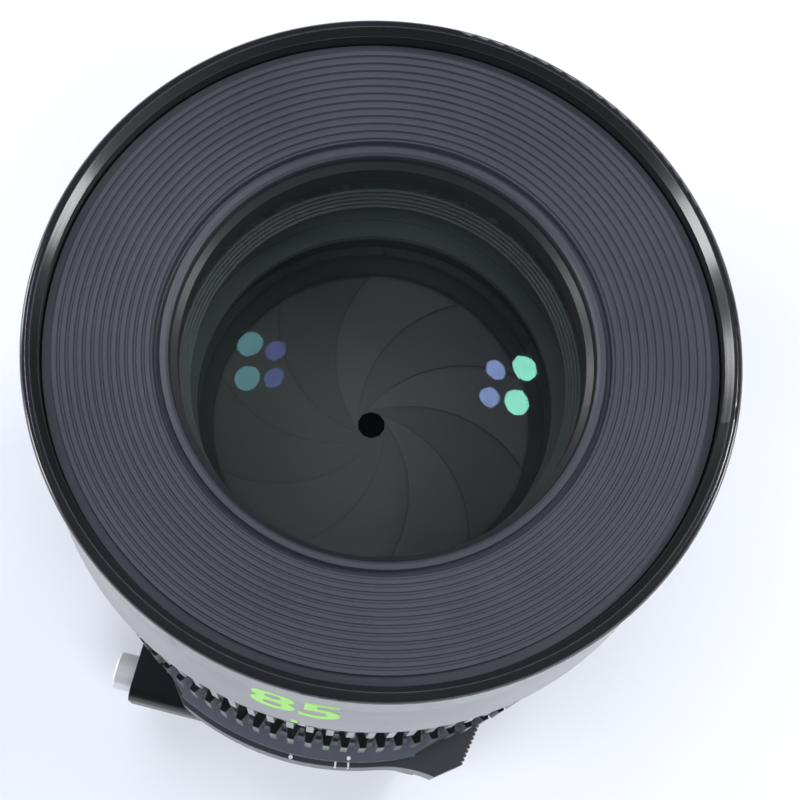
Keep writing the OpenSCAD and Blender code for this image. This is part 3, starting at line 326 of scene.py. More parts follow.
def turned_metal(name, colour, roughness, metallic, lathe_pitch, relief):
    """Bare or plated metal off the lathe: bright, with fine scratches.

    Pitch and relief are in mm, drawn coarser than the real ones so that they show.
    """
    material, tree = new_material(name)
    place = add(tree, "ShaderNodeTexCoord").outputs["Object"]
    scratch = add(
        tree,
        "ShaderNodeTexNoise",
        {"Vector": place, "Scale": 1 / (lathe_pitch * MM), "Detail": 2.0},
    )
    cloud = add(
        tree, "ShaderNodeTexNoise", {"Vector": place, "Scale": 1 / (6 * MM), "Detail": 3.0}
    )
    rough = add(
        tree,
        "ShaderNodeMapRange",
        {
            "Value": cloud.outputs["Fac"],
            "From Min": 0.3,
            "From Max": 0.7,
            "To Min": roughness - 0.06,
            "To Max": roughness + 0.08,
        },
    )
    bump = add(
        tree,
        "ShaderNodeBump",
        {"Strength": 0.3, "Distance": relief * MM, "Height": scratch.outputs["Fac"]},
    )
    surface = add(
        tree,
        "ShaderNodeBsdfPrincipled",
        {
            "Base Color": rgba(colour),
            "Metallic": metallic,
            "Roughness": rough.outputs[0],
            "Normal": bump.outputs[0],
        },
    )
    add(tree, "ShaderNodeOutputMaterial", {"Surface": surface.outputs[0]})
    return material


def filled_paint(name, colour):
    """Enamel wiped into an engraved mark: flat colour with a slightly uneven, low gloss.

    Its specks are drawn coarser than the real ones so that they show.
    """
    material, tree = new_material(name)
    place = add(tree, "ShaderNodeTexCoord").outputs["Object"]
    speck = add(
        tree, "ShaderNodeTexNoise", {"Vector": place, "Scale": 1 / (0.4 * MM), "Detail": 2.0}
    )
    bump = add(
        tree,
        "ShaderNodeBump",
        {"Strength": 0.2, "Distance": 0.02 * MM, "Height": speck.outputs["Fac"]},
    )
    surface = add(
        tree,
        "ShaderNodeBsdfPrincipled",
        {"Base Color": rgba(colour), "Roughness": 0.5, "Normal": bump.outputs[0]},
    )
    add(tree, "ShaderNodeOutputMaterial", {"Surface": surface.outputs[0]})
    return material


def as_piece(name, shape):
    """Turn a finished shape into an object of the scene."""
    mesh = bpy.data.meshes.new(name)
    shape.to_mesh(mesh)
    shape.free()
    piece = bpy.data.objects.new(name, mesh)
    bpy.context.scene.collection.objects.link(piece)
    return piece


def prism(shape, outline, low, high):
    """Add an upright closed prism over an outline that runs anticlockwise."""
    floor = [shape.verts.new((p.x, p.y, low)) for p in outline]
    roof = [shape.verts.new((p.x, p.y, high)) for p in outline]
    shape.faces.new(floor[::-1])
    shape.faces.new(roof)
    for i in range(len(outline)):
        j = (i + 1) % len(outline)
        shape.faces.new([floor[i], floor[j], roof[j], roof[i]])


def lathe(name, outline, segments=256):
    """Turn an outline of radius and height about the axis into a smooth closed solid."""
    shape = bmesh.new()
    rings = []
    for radius, z in outline:
        count = 1 if radius == 0 else segments
        rings.append(
            [
                shape.verts.new(
                    (
                        radius * math.cos(2 * math.pi * i / count),
                        radius * math.sin(2 * math.pi * i / count),
                        z,
                    )
                )
                for i in range(count)
            ]
        )
    for low, high in zip(rings, rings[1:]):
        for i in range(segments):
            j = (i + 1) % segments
            if len(low) == 1:
                corners = [low[0], high[j], high[i]]
            elif len(high) == 1:
                corners = [low[i], low[j], high[0]]
            else:
                corners = [low[i], low[j], high[j], high[i]]
            shape.faces.new(corners).smooth = True
    bmesh.ops.recalc_face_normals(shape, faces=shape.faces[:])
    piece = as_piece(name, shape)
    piece.data.set_sharp_from_angle(angle=math.radians(25))
    return piece


def label_shape(text, height, width=None, bold=0.0):
    """A word of plain type as a thin solid, centred, with the given height and maybe width."""
    curve = bpy.data.curves.new("label", "FONT")
    curve.body = text
    curve.size = 1.0
    curve.offset = bold
    curve.resolution_u = 6
    holder = bpy.data.objects.new("label", curve)
    bpy.context.scene.collection.objects.link(holder)
    bpy.context.view_layer.update()
    mesh = bpy.data.meshes.new_from_object(
        holder.evaluated_get(bpy.context.evaluated_depsgraph_get())
    )
    bpy.data.objects.remove(holder)
    shape = bmesh.new()
    shape.from_mesh(mesh)
    bpy.data.meshes.remove(mesh)
    xs = [v.co.x for v in shape.verts]
    ys = [v.co.y for v in shape.verts]
    tall = height / (max(ys) - min(ys))
    wide = tall if width is None else width / (max(xs) - min(xs))
    for v in shape.verts:
        v.co.x = (v.co.x - (max(xs) + min(xs)) / 2) * wide
        v.co.y = (v.co.y - (max(ys) + min(ys)) / 2) * tall
        v.co.z = 0
    return thicken(shape)


def bar_shape(width, height):
    """A straight painted line, centred."""
    shape = bmesh.new()
    corners = [(-1, -1), (1, -1), (1, 1), (-1, 1)]
    shape.faces.new([shape.verts.new((x * width / 2, y * height / 2, 0)) for x, y in corners])
    return thicken(shape)


def dot_shape(radius):
    """A round painted dot, centred."""
    shape = bmesh.new()
    bmesh.ops.create_circle(shape, cap_ends=True, segments=32, radius=radius)
    return thicken(shape)


def thicken(shape):
    """Cut a flat shape into strips that can follow a curve, and give it a back and sides."""
    xs = [v.co.x for v in shape.verts]
    cuts = int((max(xs) - min(xs)) / PAINT_STRIP)
    for i in range(1, cuts + 1):
        bmesh.ops.bisect_plane(
            shape,
            geom=shape.verts[:] + shape.edges[:] + shape.faces[:],
            plane_co=(min(xs) + i * PAINT_STRIP, 0, 0),
            plane_no=(1, 0, 0),
        )
    bmesh.ops.remove_doubles(shape, verts=shape.verts[:], dist=1e-7)
    bmesh.ops.recalc_face_normals(shape, faces=shape.faces[:])
    if shape.faces and sum(f.normal.z for f in shape.faces) < 0:
        bmesh.ops.reverse_faces(shape, faces=shape.faces[:])
    front = bmesh.ops.extrude_face_region(shape, geom=shape.faces[:])["geom"]
    lifted = {g for g in front if isinstance(g, bmesh.types.BMVert)}
    for v in shape.verts:
        v.co.z = PAINT_DEPTH / 2 if v in lifted else -PAINT_DEPTH
    bmesh.ops.recalc_face_normals(shape, faces=shape.faces[:])
    return shape


def wrap(shape, azimuth, z, radius):
    """Lay a flat shape on a wall of revolution; radius gives the wall's radius at a height."""
    for v in shape.verts:
        height = z + v.co.y
        r = radius(height)
        angle = math.radians(azimuth) + v.co.x / r
        r += v.co.z
        v.co = Vector((r * math.sin(angle), -r * math.cos(angle), height))
    return shape


def straight_wall(radius):
    """A wall with one radius at every height, for wrap."""
    return lambda z: radius


def lay(shape, azimuth, radius, z):
    """Lay a flat shape on an upward face, with its own up pointing outwards."""
    turn = Matrix.Rotation(math.radians(azimuth + 180), 4, "Z")
    shape.transform(turn @ Matrix.Translation((0, radius, z)))
    return shape


def marks(name, shapes, material, body):
    """Join marks painted on black anodising into one piece that rides on a body."""
    joined = bmesh.new()
    for shape in shapes:
        part = bpy.data.meshes.new("part")
        shape.to_mesh(part)
        joined.from_mesh(part)
        bpy.data.meshes.remove(part)
        shape.free()
    piece = as_piece(name, joined)
    piece.data.materials.append(material)
    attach(piece, body)


class LensFinishes(bpy.types.PropertyGroup):
    """Colours of the lens."""

    barrel: FloatVectorProperty(
        name="Barrel black",
        description="Dyed oxide of the front barrel and the index ring",
        subtype="COLOR",
        default=linear("#1d1e21"),
        min=0,
        max=1,
    )
    skirt: FloatVectorProperty(
        name="Skirt blue-grey",
        description="Dyed oxide of the rear barrel's skirt",
        subtype="COLOR",
        default=linear("#5c606b"),
        min=0,
        max=1,
    )
    collar: FloatVectorProperty(
        name="Collar black",
        description="Dyed oxide of the lock collar",
        subtype="COLOR",
        default=linear("#393b42"),
        min=0,
        max=1,
    )
    handle: FloatVectorProperty(
        name="Handle black",
        description="Dyed oxide of the mount housing, the tray and its handle",
        subtype="COLOR",
        default=linear("#0d0e10"),
        min=0,
        max=1,
    )
    rings: FloatVectorProperty(
        name="Ring black",
        description="Dyed oxide of the focus and iris rings and their gears",
        subtype="COLOR",
        default=linear("#1a1b1d"),
        min=0,
        max=1,
    )
    baffle: FloatVectorProperty(
        name="Baffle grey",
        description="Flat black oxide of the ridged baffle",
        subtype="COLOR",
        default=linear("#3e4049"),
        min=0,
        max=1,
    )
    inside: FloatVectorProperty(
        name="Inner black",
        description="Flat black oxide of the rear cell and the rings inside",
        subtype="COLOR",
        default=linear("#18191a"),
        min=0,
        max=1,
    )
    trap: FloatVectorProperty(
        name="Glass mount black",
        description="Dyed oxide of the ring that clamps the front glass",
        subtype="COLOR",
        default=linear("#2c2d31"),
        min=0,
        max=1,
    )
    # Painted light: a grey lighter than the inner black, so that the cells and bores, which little
    # light reaches, look lit
    painted_light_bore: FloatVectorProperty(
        name="Bore grey",
        description="Dull oxide of the cells and bores seen through the front glass",
        subtype="COLOR",
        default=linear("#4a4c4f"),
        min=0,
        max=1,
    )
    blades: FloatVectorProperty(
        name="Blade grey",
        description="Blackened spring steel of the iris blades",
        subtype="COLOR",
        default=linear("#7e7e7c"),
        min=0,
        max=1,
    )
    steel: FloatVectorProperty(
        name="Bright steel",
        description="Steel of the mounts, the pin and the spring, and plating of the button",
        subtype="COLOR",
        default=linear("#e2e4e7"),
        min=0,
        max=1,
    )
    brass: FloatVectorProperty(
        name="Brass",
        description="Machined brass of the cam ring and rollers",
        subtype="COLOR",
        default=linear("#d0ab63"),
        min=0,
        max=1,
    )
    green: FloatVectorProperty(
        name="Mark green",
        description="Enamel of the focal length",
        subtype="COLOR",
        default=linear("#a6ee6c"),
        min=0,
        max=1,
    )
    white: FloatVectorProperty(
        name="Mark white",
        description="Enamel of the scales and index dots",
        subtype="COLOR",
        default=linear("#eef0f0"),
        min=0,
        max=1,
    )


class LensMarks(bpy.types.PropertyGroup):
    """Sizes of the painted marks."""

    numeral: FloatProperty(
        name="Focal length height",
        description="Height of the focal length on the front barrel",
        subtype="DISTANCE",
        unit="LENGTH",
        default=10 * MM,
    )
    scale_numeral: FloatProperty(
        name="Scale numeral height",
        description="Height of the numbers on the two scales",
        subtype="DISTANCE",
        unit="LENGTH",
        default=2.6 * MM,
    )
    line: FloatProperty(
        name="Line width",
        description="Width of scale lines and index lines",
        subtype="DISTANCE",
        unit="LENGTH",
        default=0.3 * MM,
    )


class LensStage(bpy.types.PropertyGroup):
    """Studio light and floor."""

    floor: FloatVectorProperty(
        name="Floor",
        description="Colour of the table",
        subtype="COLOR",
        default=linear("#f3f6fd"),
        min=0,
        max=1,
    )
    lamp: FloatProperty(
        name="Lamp brightness",
        description="Radiance of the four round lamps that glint in the glass",
        default=34.0,
    )
    softbox: FloatProperty(
        name="Softbox brightness",
        description="Radiance of the four large soft lights",
        default=3.2,
    )
    window: FloatProperty(
        name="Window brightness",
        description="Radiance of the three low windows that glint on the rim",
        default=9.0,
    )
    sky: FloatProperty(
        name="Room brightness",
        description="Even light of the room",
        default=1.0,
    )


class LENS_OT_barrels(bpy.types.Operator):
    """Finish the fixed barrels, the lock collar and the mount housing"""

    bl_idname = "lens.barrels"
    bl_label = "Barrels and mount"

    def execute(self, context):
        colours = context.scene.lens_finishes
        # Turned fine: a satin black that mirrors the room in one soft streak
        satin = anodised_aluminium(
            "satin black anodised aluminium",
            colours.barrel,
            roughness=0.18,
            grit=0.25,
            lathe_pitch=0.5,
            relief=0.004,
            wear=0.5,
        )
        dress(["front_barrel", "index_ring"], satin)
        # Dyed blue-grey: paler than the barrels, with a soft sheen
        skirt = anodised_aluminium(
            "blue-grey anodised aluminium",
            colours.skirt,
            roughness=0.3,
            grit=0.25,
            lathe_pitch=0.5,
            relief=0.004,
        )
        dress(["rear_barrel"], skirt)
        # Milled all round: a dull black with cutter lines and pale worn edges
        milled = anodised_aluminium(
            "milled black anodised aluminium",
            colours.collar,
            roughness=0.36,
            grit=0.25,
            lathe_pitch=0.8,
            relief=0.008,
            wear=0.6,
        )
        dress(["lock_collar", "collar_keeper"], milled)
        # Blasted before the bath: the deepest black, fine-grained and without a streak
        blasted = anodised_aluminium(
            "bead-blasted black anodised aluminium",
            colours.handle,
            roughness=0.36,
            grit=0.2,
            lathe_pitch=0.9,
            relief=0.012,
            wear=0.4,
        )
        dress(["mount_housing", "filter_tray", "tray_handle"], blasted)
        return {"FINISHED"}


class LENS_OT_rings(bpy.types.Operator):
    """Finish the focus and iris rings with their gears"""

    bl_idname = "lens.rings"
    bl_label = "Focus and iris rings"

    def execute(self, context):
        colours = context.scene.lens_finishes
        # Turned smooth: an even black on which the white scales stand out
        turned = anodised_aluminium(
            "turned black anodised aluminium",
            colours.rings,
            roughness=0.22,
            grit=0.3,
            lathe_pitch=0.4,
            relief=0.006,
        )
        dress(["focus_ring", "focus_cover_ring", "iris_ring"], turned)
        # Cut by a hob: black ends, with the upright flanks paled by a painted sheen of the bright
        # table
        hobbed = anodised_aluminium(
            "hobbed black anodised aluminium",
            colours.rings,
            roughness=0.2,
            grit=0.3,
            lathe_pitch=1.2,
            relief=0.004,
            wear=0.5,
            painted_upright_sheen=0.28,
        )
        dress(["focus_gear", "iris_gear"], hobbed)
        return {"FINISHED"}


class LENS_OT_insides(bpy.types.Operator):
    """Finish the baffle, the glass mount and the pieces inside"""

    bl_idname = "lens.insides"
    bl_label = "Baffle and inner pieces"

    def execute(self, context):
        colours = context.scene.lens_finishes
        # Ridged against glare: a flat charcoal in fine rings
        ridged = anodised_aluminium(
            "flat black anodised baffle",
            colours.baffle,
            roughness=0.42,
            grit=0.25,
            lathe_pitch=0.22,
            relief=0.004,
        )
        dress(["front_baffle"], ridged)
        # Turned smooth: a black ring, bright where its bevel meets the light
        trap = anodised_aluminium(
            "turned black anodised glass mount",
            colours.trap,
            roughness=0.34,
            grit=0.25,
            lathe_pitch=0.5,
            relief=0.004,
        )
        dress(["front_retaining_ring"], trap)
        # Left matt, and lightened from the inner black to a dim grey as painted light: grey steps
        # that show how deep the bores go
        dull = anodised_aluminium(
            "inner anodising lightened as painted light",
            colours.painted_light_bore,
            roughness=0.42,
            grit=0.3,
            lathe_pitch=0.6,
            relief=0.006,
        )
        dress(
            ["front_cell", "main_barrel", "focus_cell", "focus_cell_ring", "iris_base_plate"], dull
        )
        # Dyed flat black: hardly any shape to be seen
        flat = anodised_aluminium(
            "flat black inner anodising",
            colours.inside,
            roughness=0.6,
            grit=0.3,
            lathe_pitch=0.6,
            relief=0.006,
        )
        dress(
            [
                "barrel_lock_ring",
                "iris_retaining_ring",
                "iris_drive_ring",
                "rear_cell",
                "rear_cell_nut",
                "rear_spacers",
                "rear_retaining_ring",
                "light_mask",
                "tray_filter_ring",
            ],
            flat,
        )
        return {"FINISHED"}


class LENS_OT_glass(bpy.types.Operator):
    """Give each element its coated glass"""

    bl_idname = "lens.glass"
    bl_label = "Glass"

    def execute(self, context):
        # Polished front: green glints from the outer face, violet ones from the inner face
        self.front_glass(
            coated_glass(
                "coated front glass",
                outer_tint=linear("#71bca5"),
                inner_tint=linear("#6575a1"),
                body_tint=linear("#f8fbfa"),
            )
        )
        # Polished focusing pair: glints of dim teal and amber
        dress(
            ["focus_element_front", "focus_element_rear"],
            coated_glass(
                "coated inner glass",
                outer_tint=linear("#3f6f72"),
                inner_tint=linear("#b8845c"),
                body_tint=linear("#fafafb"),
            ),
        )
        # Polished rear group: green and violet glints that show from behind
        dress(
            ["rear_element_front", "rear_element_middle", "rear_element_rear"],
            coated_glass(
                "coated rear glass",
                outer_tint=linear("#7cc8b0"),
                inner_tint=linear("#a08ce0"),
                body_tint=linear("#f2f6f4"),
            ),
        )
        # Flat filter without a tinted film: clear, with white glints
        dress(
            ["tray_filter"],
            coated_glass(
                "plain filter glass",
                outer_tint=linear("#e8eeee"),
                inner_tint=linear("#e8eeee"),
                body_tint=linear("#e6ecec"),
            ),
        )
        return {"FINISHED"}

    def front_glass(self, glass):
        """The front element with finer faces, in the place of the CAD one.

        The clear radius and the radii of its outer and hollow faces are the CAD element's.
        """
        high = top("front_element")
        low = foot("front_element")
        edge = reach("front_element")
        clear, outer, hollow = 23.5 * MM, 70 * MM, 54 * MM
        count = 64

        def sag(radius, r):
            return radius - math.sqrt(radius * radius - r * r)

        steps = [i / count for i in range(count + 1)]
        back = [(clear * t, low + sag(hollow, clear) - sag(hollow, clear * t)) for t in steps]
        front = [(clear * t, high - sag(outer, clear * t)) for t in reversed(steps)]
        rim = [(edge, low), (edge, high - sag(outer, clear))]
        piece = lathe("front_glass", back + rim + front)
        piece.data.materials.append(glass)
        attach(piece, "housing")
        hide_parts("front_element")


class LENS_OT_iris(bpy.types.Operator):
    """Draw the iris blades as thin leaves that lap over one another all round"""

    bl_idname = "lens.iris"
    bl_label = "Iris blades"

    def execute(self, context):
        steel = spring_steel("blackened spring steel", context.scene.lens_finishes.blades)
        for i, name in enumerate(BLADES):
            leaf = self.leaf(name, math.radians(360 * i / len(BLADES)))
            leaf.data.materials.append(steel)
            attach(leaf, name)
            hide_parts(name)
        return {"FINISHED"}

    def leaf(self, name, turn):
        """One blade: a curved sheet, the plate on its head, and its two pins.

        The outlines have the CAD blade's sizes, in mm. The sheet is thinner than the CAD blade and
        drops along its length, so that each leaf passes under the next and none lies on top of
        all the others.
        """
        low, high = (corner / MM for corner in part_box(name))
        hang = 0.4
        head_z = foot("iris_base_plate") / MM - hang
        # Azimuths of the sheet's ends, its drop per degree, and the turn that stops it down
        start, end = -6, 88
        drop = 0.0125
        stopped = math.radians(31.375)
        # Middle radius and half width of the sheet, its thickness, and the plate and pins on it
        middle, half = 21.6, 4.6
        sheet = 0.045
        pivot, pin = Vector((0, -28.2)), Vector((-6.73, -26.31))
        plate_r, pin_r = 1.3, 0.5
        plate_low, plate_high = head_z + 0.04, head_z + 0.14
        steps = 60
        rows = [(start + (end - start) * k / steps, half) for k in range(steps + 1)]
        # A round tip, drawn to 85 degrees so that its last row still has some width
        for k in range(1, 11):
            bow = math.radians(8.5 * k)
            rows.append((end + math.degrees(half * math.sin(bow) / middle), half * math.cos(bow)))
        shape = bmesh.new()
        grid = []
        for azimuth, width in rows:
            angle = math.radians(azimuth)
            radii = [middle + width * (c - 2) / 2 for c in range(5)]
            z = head_z - drop * (azimuth - start)
            grid.append(
                [shape.verts.new((r * math.sin(angle), -r * math.cos(angle), z)) for r in radii]
            )
        for one, two in zip(grid, grid[1:]):
            for c in range(4):
                shape.faces.new([one[c], one[c + 1], two[c + 1], two[c]])
        bmesh.ops.recalc_face_normals(shape, faces=shape.faces[:])
        bmesh.ops.solidify(shape, geom=shape.faces[:], thickness=sheet)
        angles = [math.pi * k / 16 for k in range(32)]
        ring = [Vector((math.cos(a), math.sin(a))) for a in angles]
        arm = pin - pivot
        plate = [(pin if v.dot(arm) > 0 else pivot) + plate_r * v for v in ring]
        prism(shape, plate, plate_low, plate_high)
        prism(shape, [pivot + pin_r * v for v in ring], plate_high, high.z)
        prism(shape, [pin + pin_r * v for v in ring], low.z, plate_low)
        hinge = Matrix.Translation(pivot.to_3d())
        close = hinge @ Matrix.Rotation(stopped, 4, "Z") @ hinge.inverted()
        shape.transform(Matrix.Scale(MM, 4) @ Matrix.Rotation(turn, 4, "Z") @ close)
        return as_piece(name + "_leaf", shape)


class LENS_OT_hardware(bpy.types.Operator):
    """Finish the bright mounts, the button, the brass cam and the screws"""

    bl_idname = "lens.hardware"
    bl_label = "Bright pieces and screws"

    def execute(self, context):
        colours = context.scene.lens_finishes
        # Turned and polished: a bright silver with fine scratches
        dress(
            ["release_spring", "iris_drive_pin", "lens_flange", "bayonet_mount"],
            turned_metal(
                "turned stainless steel",
                colours.steel,
                roughness=0.3,
                metallic=1.0,
                lathe_pitch=0.25,
                relief=0.006,
            ),
        )
        # Blasting breaks up the shine, so that half of the light scatters as from a matt surface
        dress(
            ["release_button"],
            turned_metal(
                "bead-blasted nickel plating",
                colours.steel,
                roughness=0.4,
                metallic=0.5,
                lathe_pitch=0.15,
                relief=0.006,
            ),
        )
        # Brass off the lathe: a warm yellow where the slots let it be seen
        dress(
            ["focus_cam_ring", "focus_rollers"],
            turned_metal(
                "machined brass",
                colours.brass,
                roughness=0.3,
                metallic=1.0,
                lathe_pitch=0.25,
                relief=0.006,
            ),
        )
        # Blackened in oil: small dark heads with a dull shine
        dress(
            [
                "front_cell_screws",
                "grub_screws",
                "lens_flange_screws",
                "bayonet_screws",
                "collar_screws",
                "tray_screws",
            ],
            turned_metal(
                "blackened screw steel",
                linear("#46484b"),
                roughness=0.38,
                metallic=1.0,
                lathe_pitch=0.2,
                relief=0.004,
            ),
        )
        return {"FINISHED"}


class LENS_OT_front_marks(bpy.types.Operator):
    """Paint the focal length and the focus index on the front barrel"""

    bl_idname = "lens.front_marks"
    bl_label = "Front barrel marks"

    def execute(self, context):
        sizes = context.scene.lens_marks
        # The barrel is straight for 9 mm behind the rim and widens from there down to its edge,
        # which stands 14.7 mm above the foot of the focus gear
        rim = top("front_barrel")
        grip = rim - 9 * MM
        edge = foot("focus_gear") + 14.7 * MM
        narrow = 40 * MM
        wide = reach("front_barrel")

        def wall(z):
            share = min(max((grip - z) / (grip - edge), 0), 1)
            return narrow + (wide - narrow) * share

        number = label_shape("85", sizes.numeral, width=10.4 * MM, bold=0.02)
        index = bar_shape(0.8 * MM, 2 * MM)
        paint = filled_paint("lime enamel", context.scene.lens_finishes.green)
        marks(
            "focal_length_mark",
            [wrap(number, 0.3, rim - 12.2 * MM, wall), wrap(index, 0.4, edge + 1.3 * MM, wall)],
            paint,
            "housing",
        )
        return {"FINISHED"}


class LENS_OT_focus_scale(bpy.types.Operator):
    """Paint the distances on the focus ring"""

    bl_idname = "lens.focus_scale"
    bl_label = "Focus scale"

    def execute(self, context):
        sizes = context.scene.lens_marks
        wall = straight_wall(reach("focus_ring"))
        low = foot("focus_ring")
        number_z, line_z, tick_z = low + 4.6 * MM, low + 1.3 * MM, low + 0.9 * MM
        travel, near = 270, 0.9
        shapes = []
        for metres in (near, 1, 1.2, 1.5, 2, 3, 5, 10):
            azimuth = -travel * near / metres
            number = label_shape(f"{metres:g}", sizes.scale_numeral)
            shapes.append(wrap(number, azimuth, number_z, wall))
            shapes.append(wrap(bar_shape(sizes.line, 1.8 * MM), azimuth, line_z, wall))
        # An eight on its side stands for infinity
        endless = label_shape("8", 4.4 * MM, width=2.2 * MM)
        endless.transform(Matrix.Rotation(math.pi / 2, 4, "Z"))
        shapes.append(wrap(endless, 0, number_z, wall))
        shapes.append(wrap(bar_shape(sizes.line, 1.8 * MM), 0, line_z, wall))
        for azimuth in range(5, travel, 5):
            shapes.append(wrap(bar_shape(0.2 * MM, 0.9 * MM), -azimuth, tick_z, wall))
        paint = filled_paint("white focus enamel", context.scene.lens_finishes.white)
        marks("focus_scale_marks", shapes, paint, "focus_ring")
        return {"FINISHED"}


class LENS_OT_iris_scale(bpy.types.Operator):
    """Paint the stops on the iris ring"""

    bl_idname = "lens.iris_scale"
    bl_label = "Iris scale"

    def execute(self, context):
        sizes = context.scene.lens_marks
        wall = straight_wall(reach("iris_ring"))
        high = top("iris_ring")
        number_z, line_z = high - 4.4 * MM, high - 1.3 * MM
        travel = 54
        stops = ("22", "16", "11", "8", "5.6", "4", "2.8", "2", "1.5")
        shapes = []
        for i, stop in enumerate(stops):
            azimuth = -travel * i / (len(stops) - 1)
            number = label_shape(stop, 0.85 * sizes.scale_numeral)
            shapes.append(wrap(number, azimuth, number_z, wall))
            shapes.append(wrap(bar_shape(sizes.line, 1.8 * MM), azimuth, line_z, wall))
        paint = filled_paint("white iris enamel", context.scene.lens_finishes.white)
        marks("iris_scale_marks", shapes, paint, "iris_ring")
        return {"FINISHED"}


class LENS_OT_index_marks(bpy.types.Operator):
    """Paint the fixed index lines between the scales"""

    bl_idname = "lens.index_marks"
    bl_label = "Index lines"

    def execute(self, context):
        sizes = context.scene.lens_marks
        middle = (top("index_ring") + foot("index_ring")) / 2
        wall = straight_wall(reach("index_ring"))
        shapes = [
            wrap(bar_shape(1.3 * sizes.line, 1.9 * MM), azimuth, middle, wall)
            for azimuth in (0, 180)
        ]
        paint = filled_paint("white index enamel", context.scene.lens_finishes.white)
        marks("index_lines", shapes, paint, "housing")
        return {"FINISHED"}


class LENS_OT_mount_marks(bpy.types.Operator):
    """Paint the dots and ticks of the skirt, the lock collar and the mount"""

    bl_idname = "lens.mount_marks"
    bl_label = "Mount marks"

    def execute(self, context):
        paint = filled_paint("white mount enamel", context.scene.lens_finishes.white)
        # The index pad ends 6 mm under the top of the rear barrel
        pad_r = reach("rear_barrel")
        pad_z = top("rear_barrel") - 6 * MM
        dot = lay(dot_shape(0.3 * MM), 12, pad_r - 0.5 * MM, pad_z)
        marks("skirt_dot", [dot], paint, "housing")
        # The collar's ticks run over the edge of its lobe
        lobe_r = 42 * MM
        lobe_z = top("lock_collar")
        ticks = [lay(dot_shape(0.32 * MM), 0, lobe_r - 0.36 * MM, lobe_z)]
        for azimuth in (9.4, 12.1):
            across = bar_shape(0.3 * MM, 1.6 * MM)
            down = bar_shape(0.3 * MM, 2.5 * MM)
            ticks.append(lay(across, azimuth, lobe_r - 0.85 * MM, lobe_z))
            ticks.append(wrap(down, azimuth, lobe_z - 1.3 * MM, straight_wall(lobe_r)))
        marks("collar_marks", ticks, paint, "lock_collar")
        housing_r = 38 * MM
        dot = wrap(dot_shape(0.9 * MM), 60, 7 * MM, straight_wall(housing_r))
        marks("mount_dot", [dot], paint, "housing")
        return {"FINISHED"}


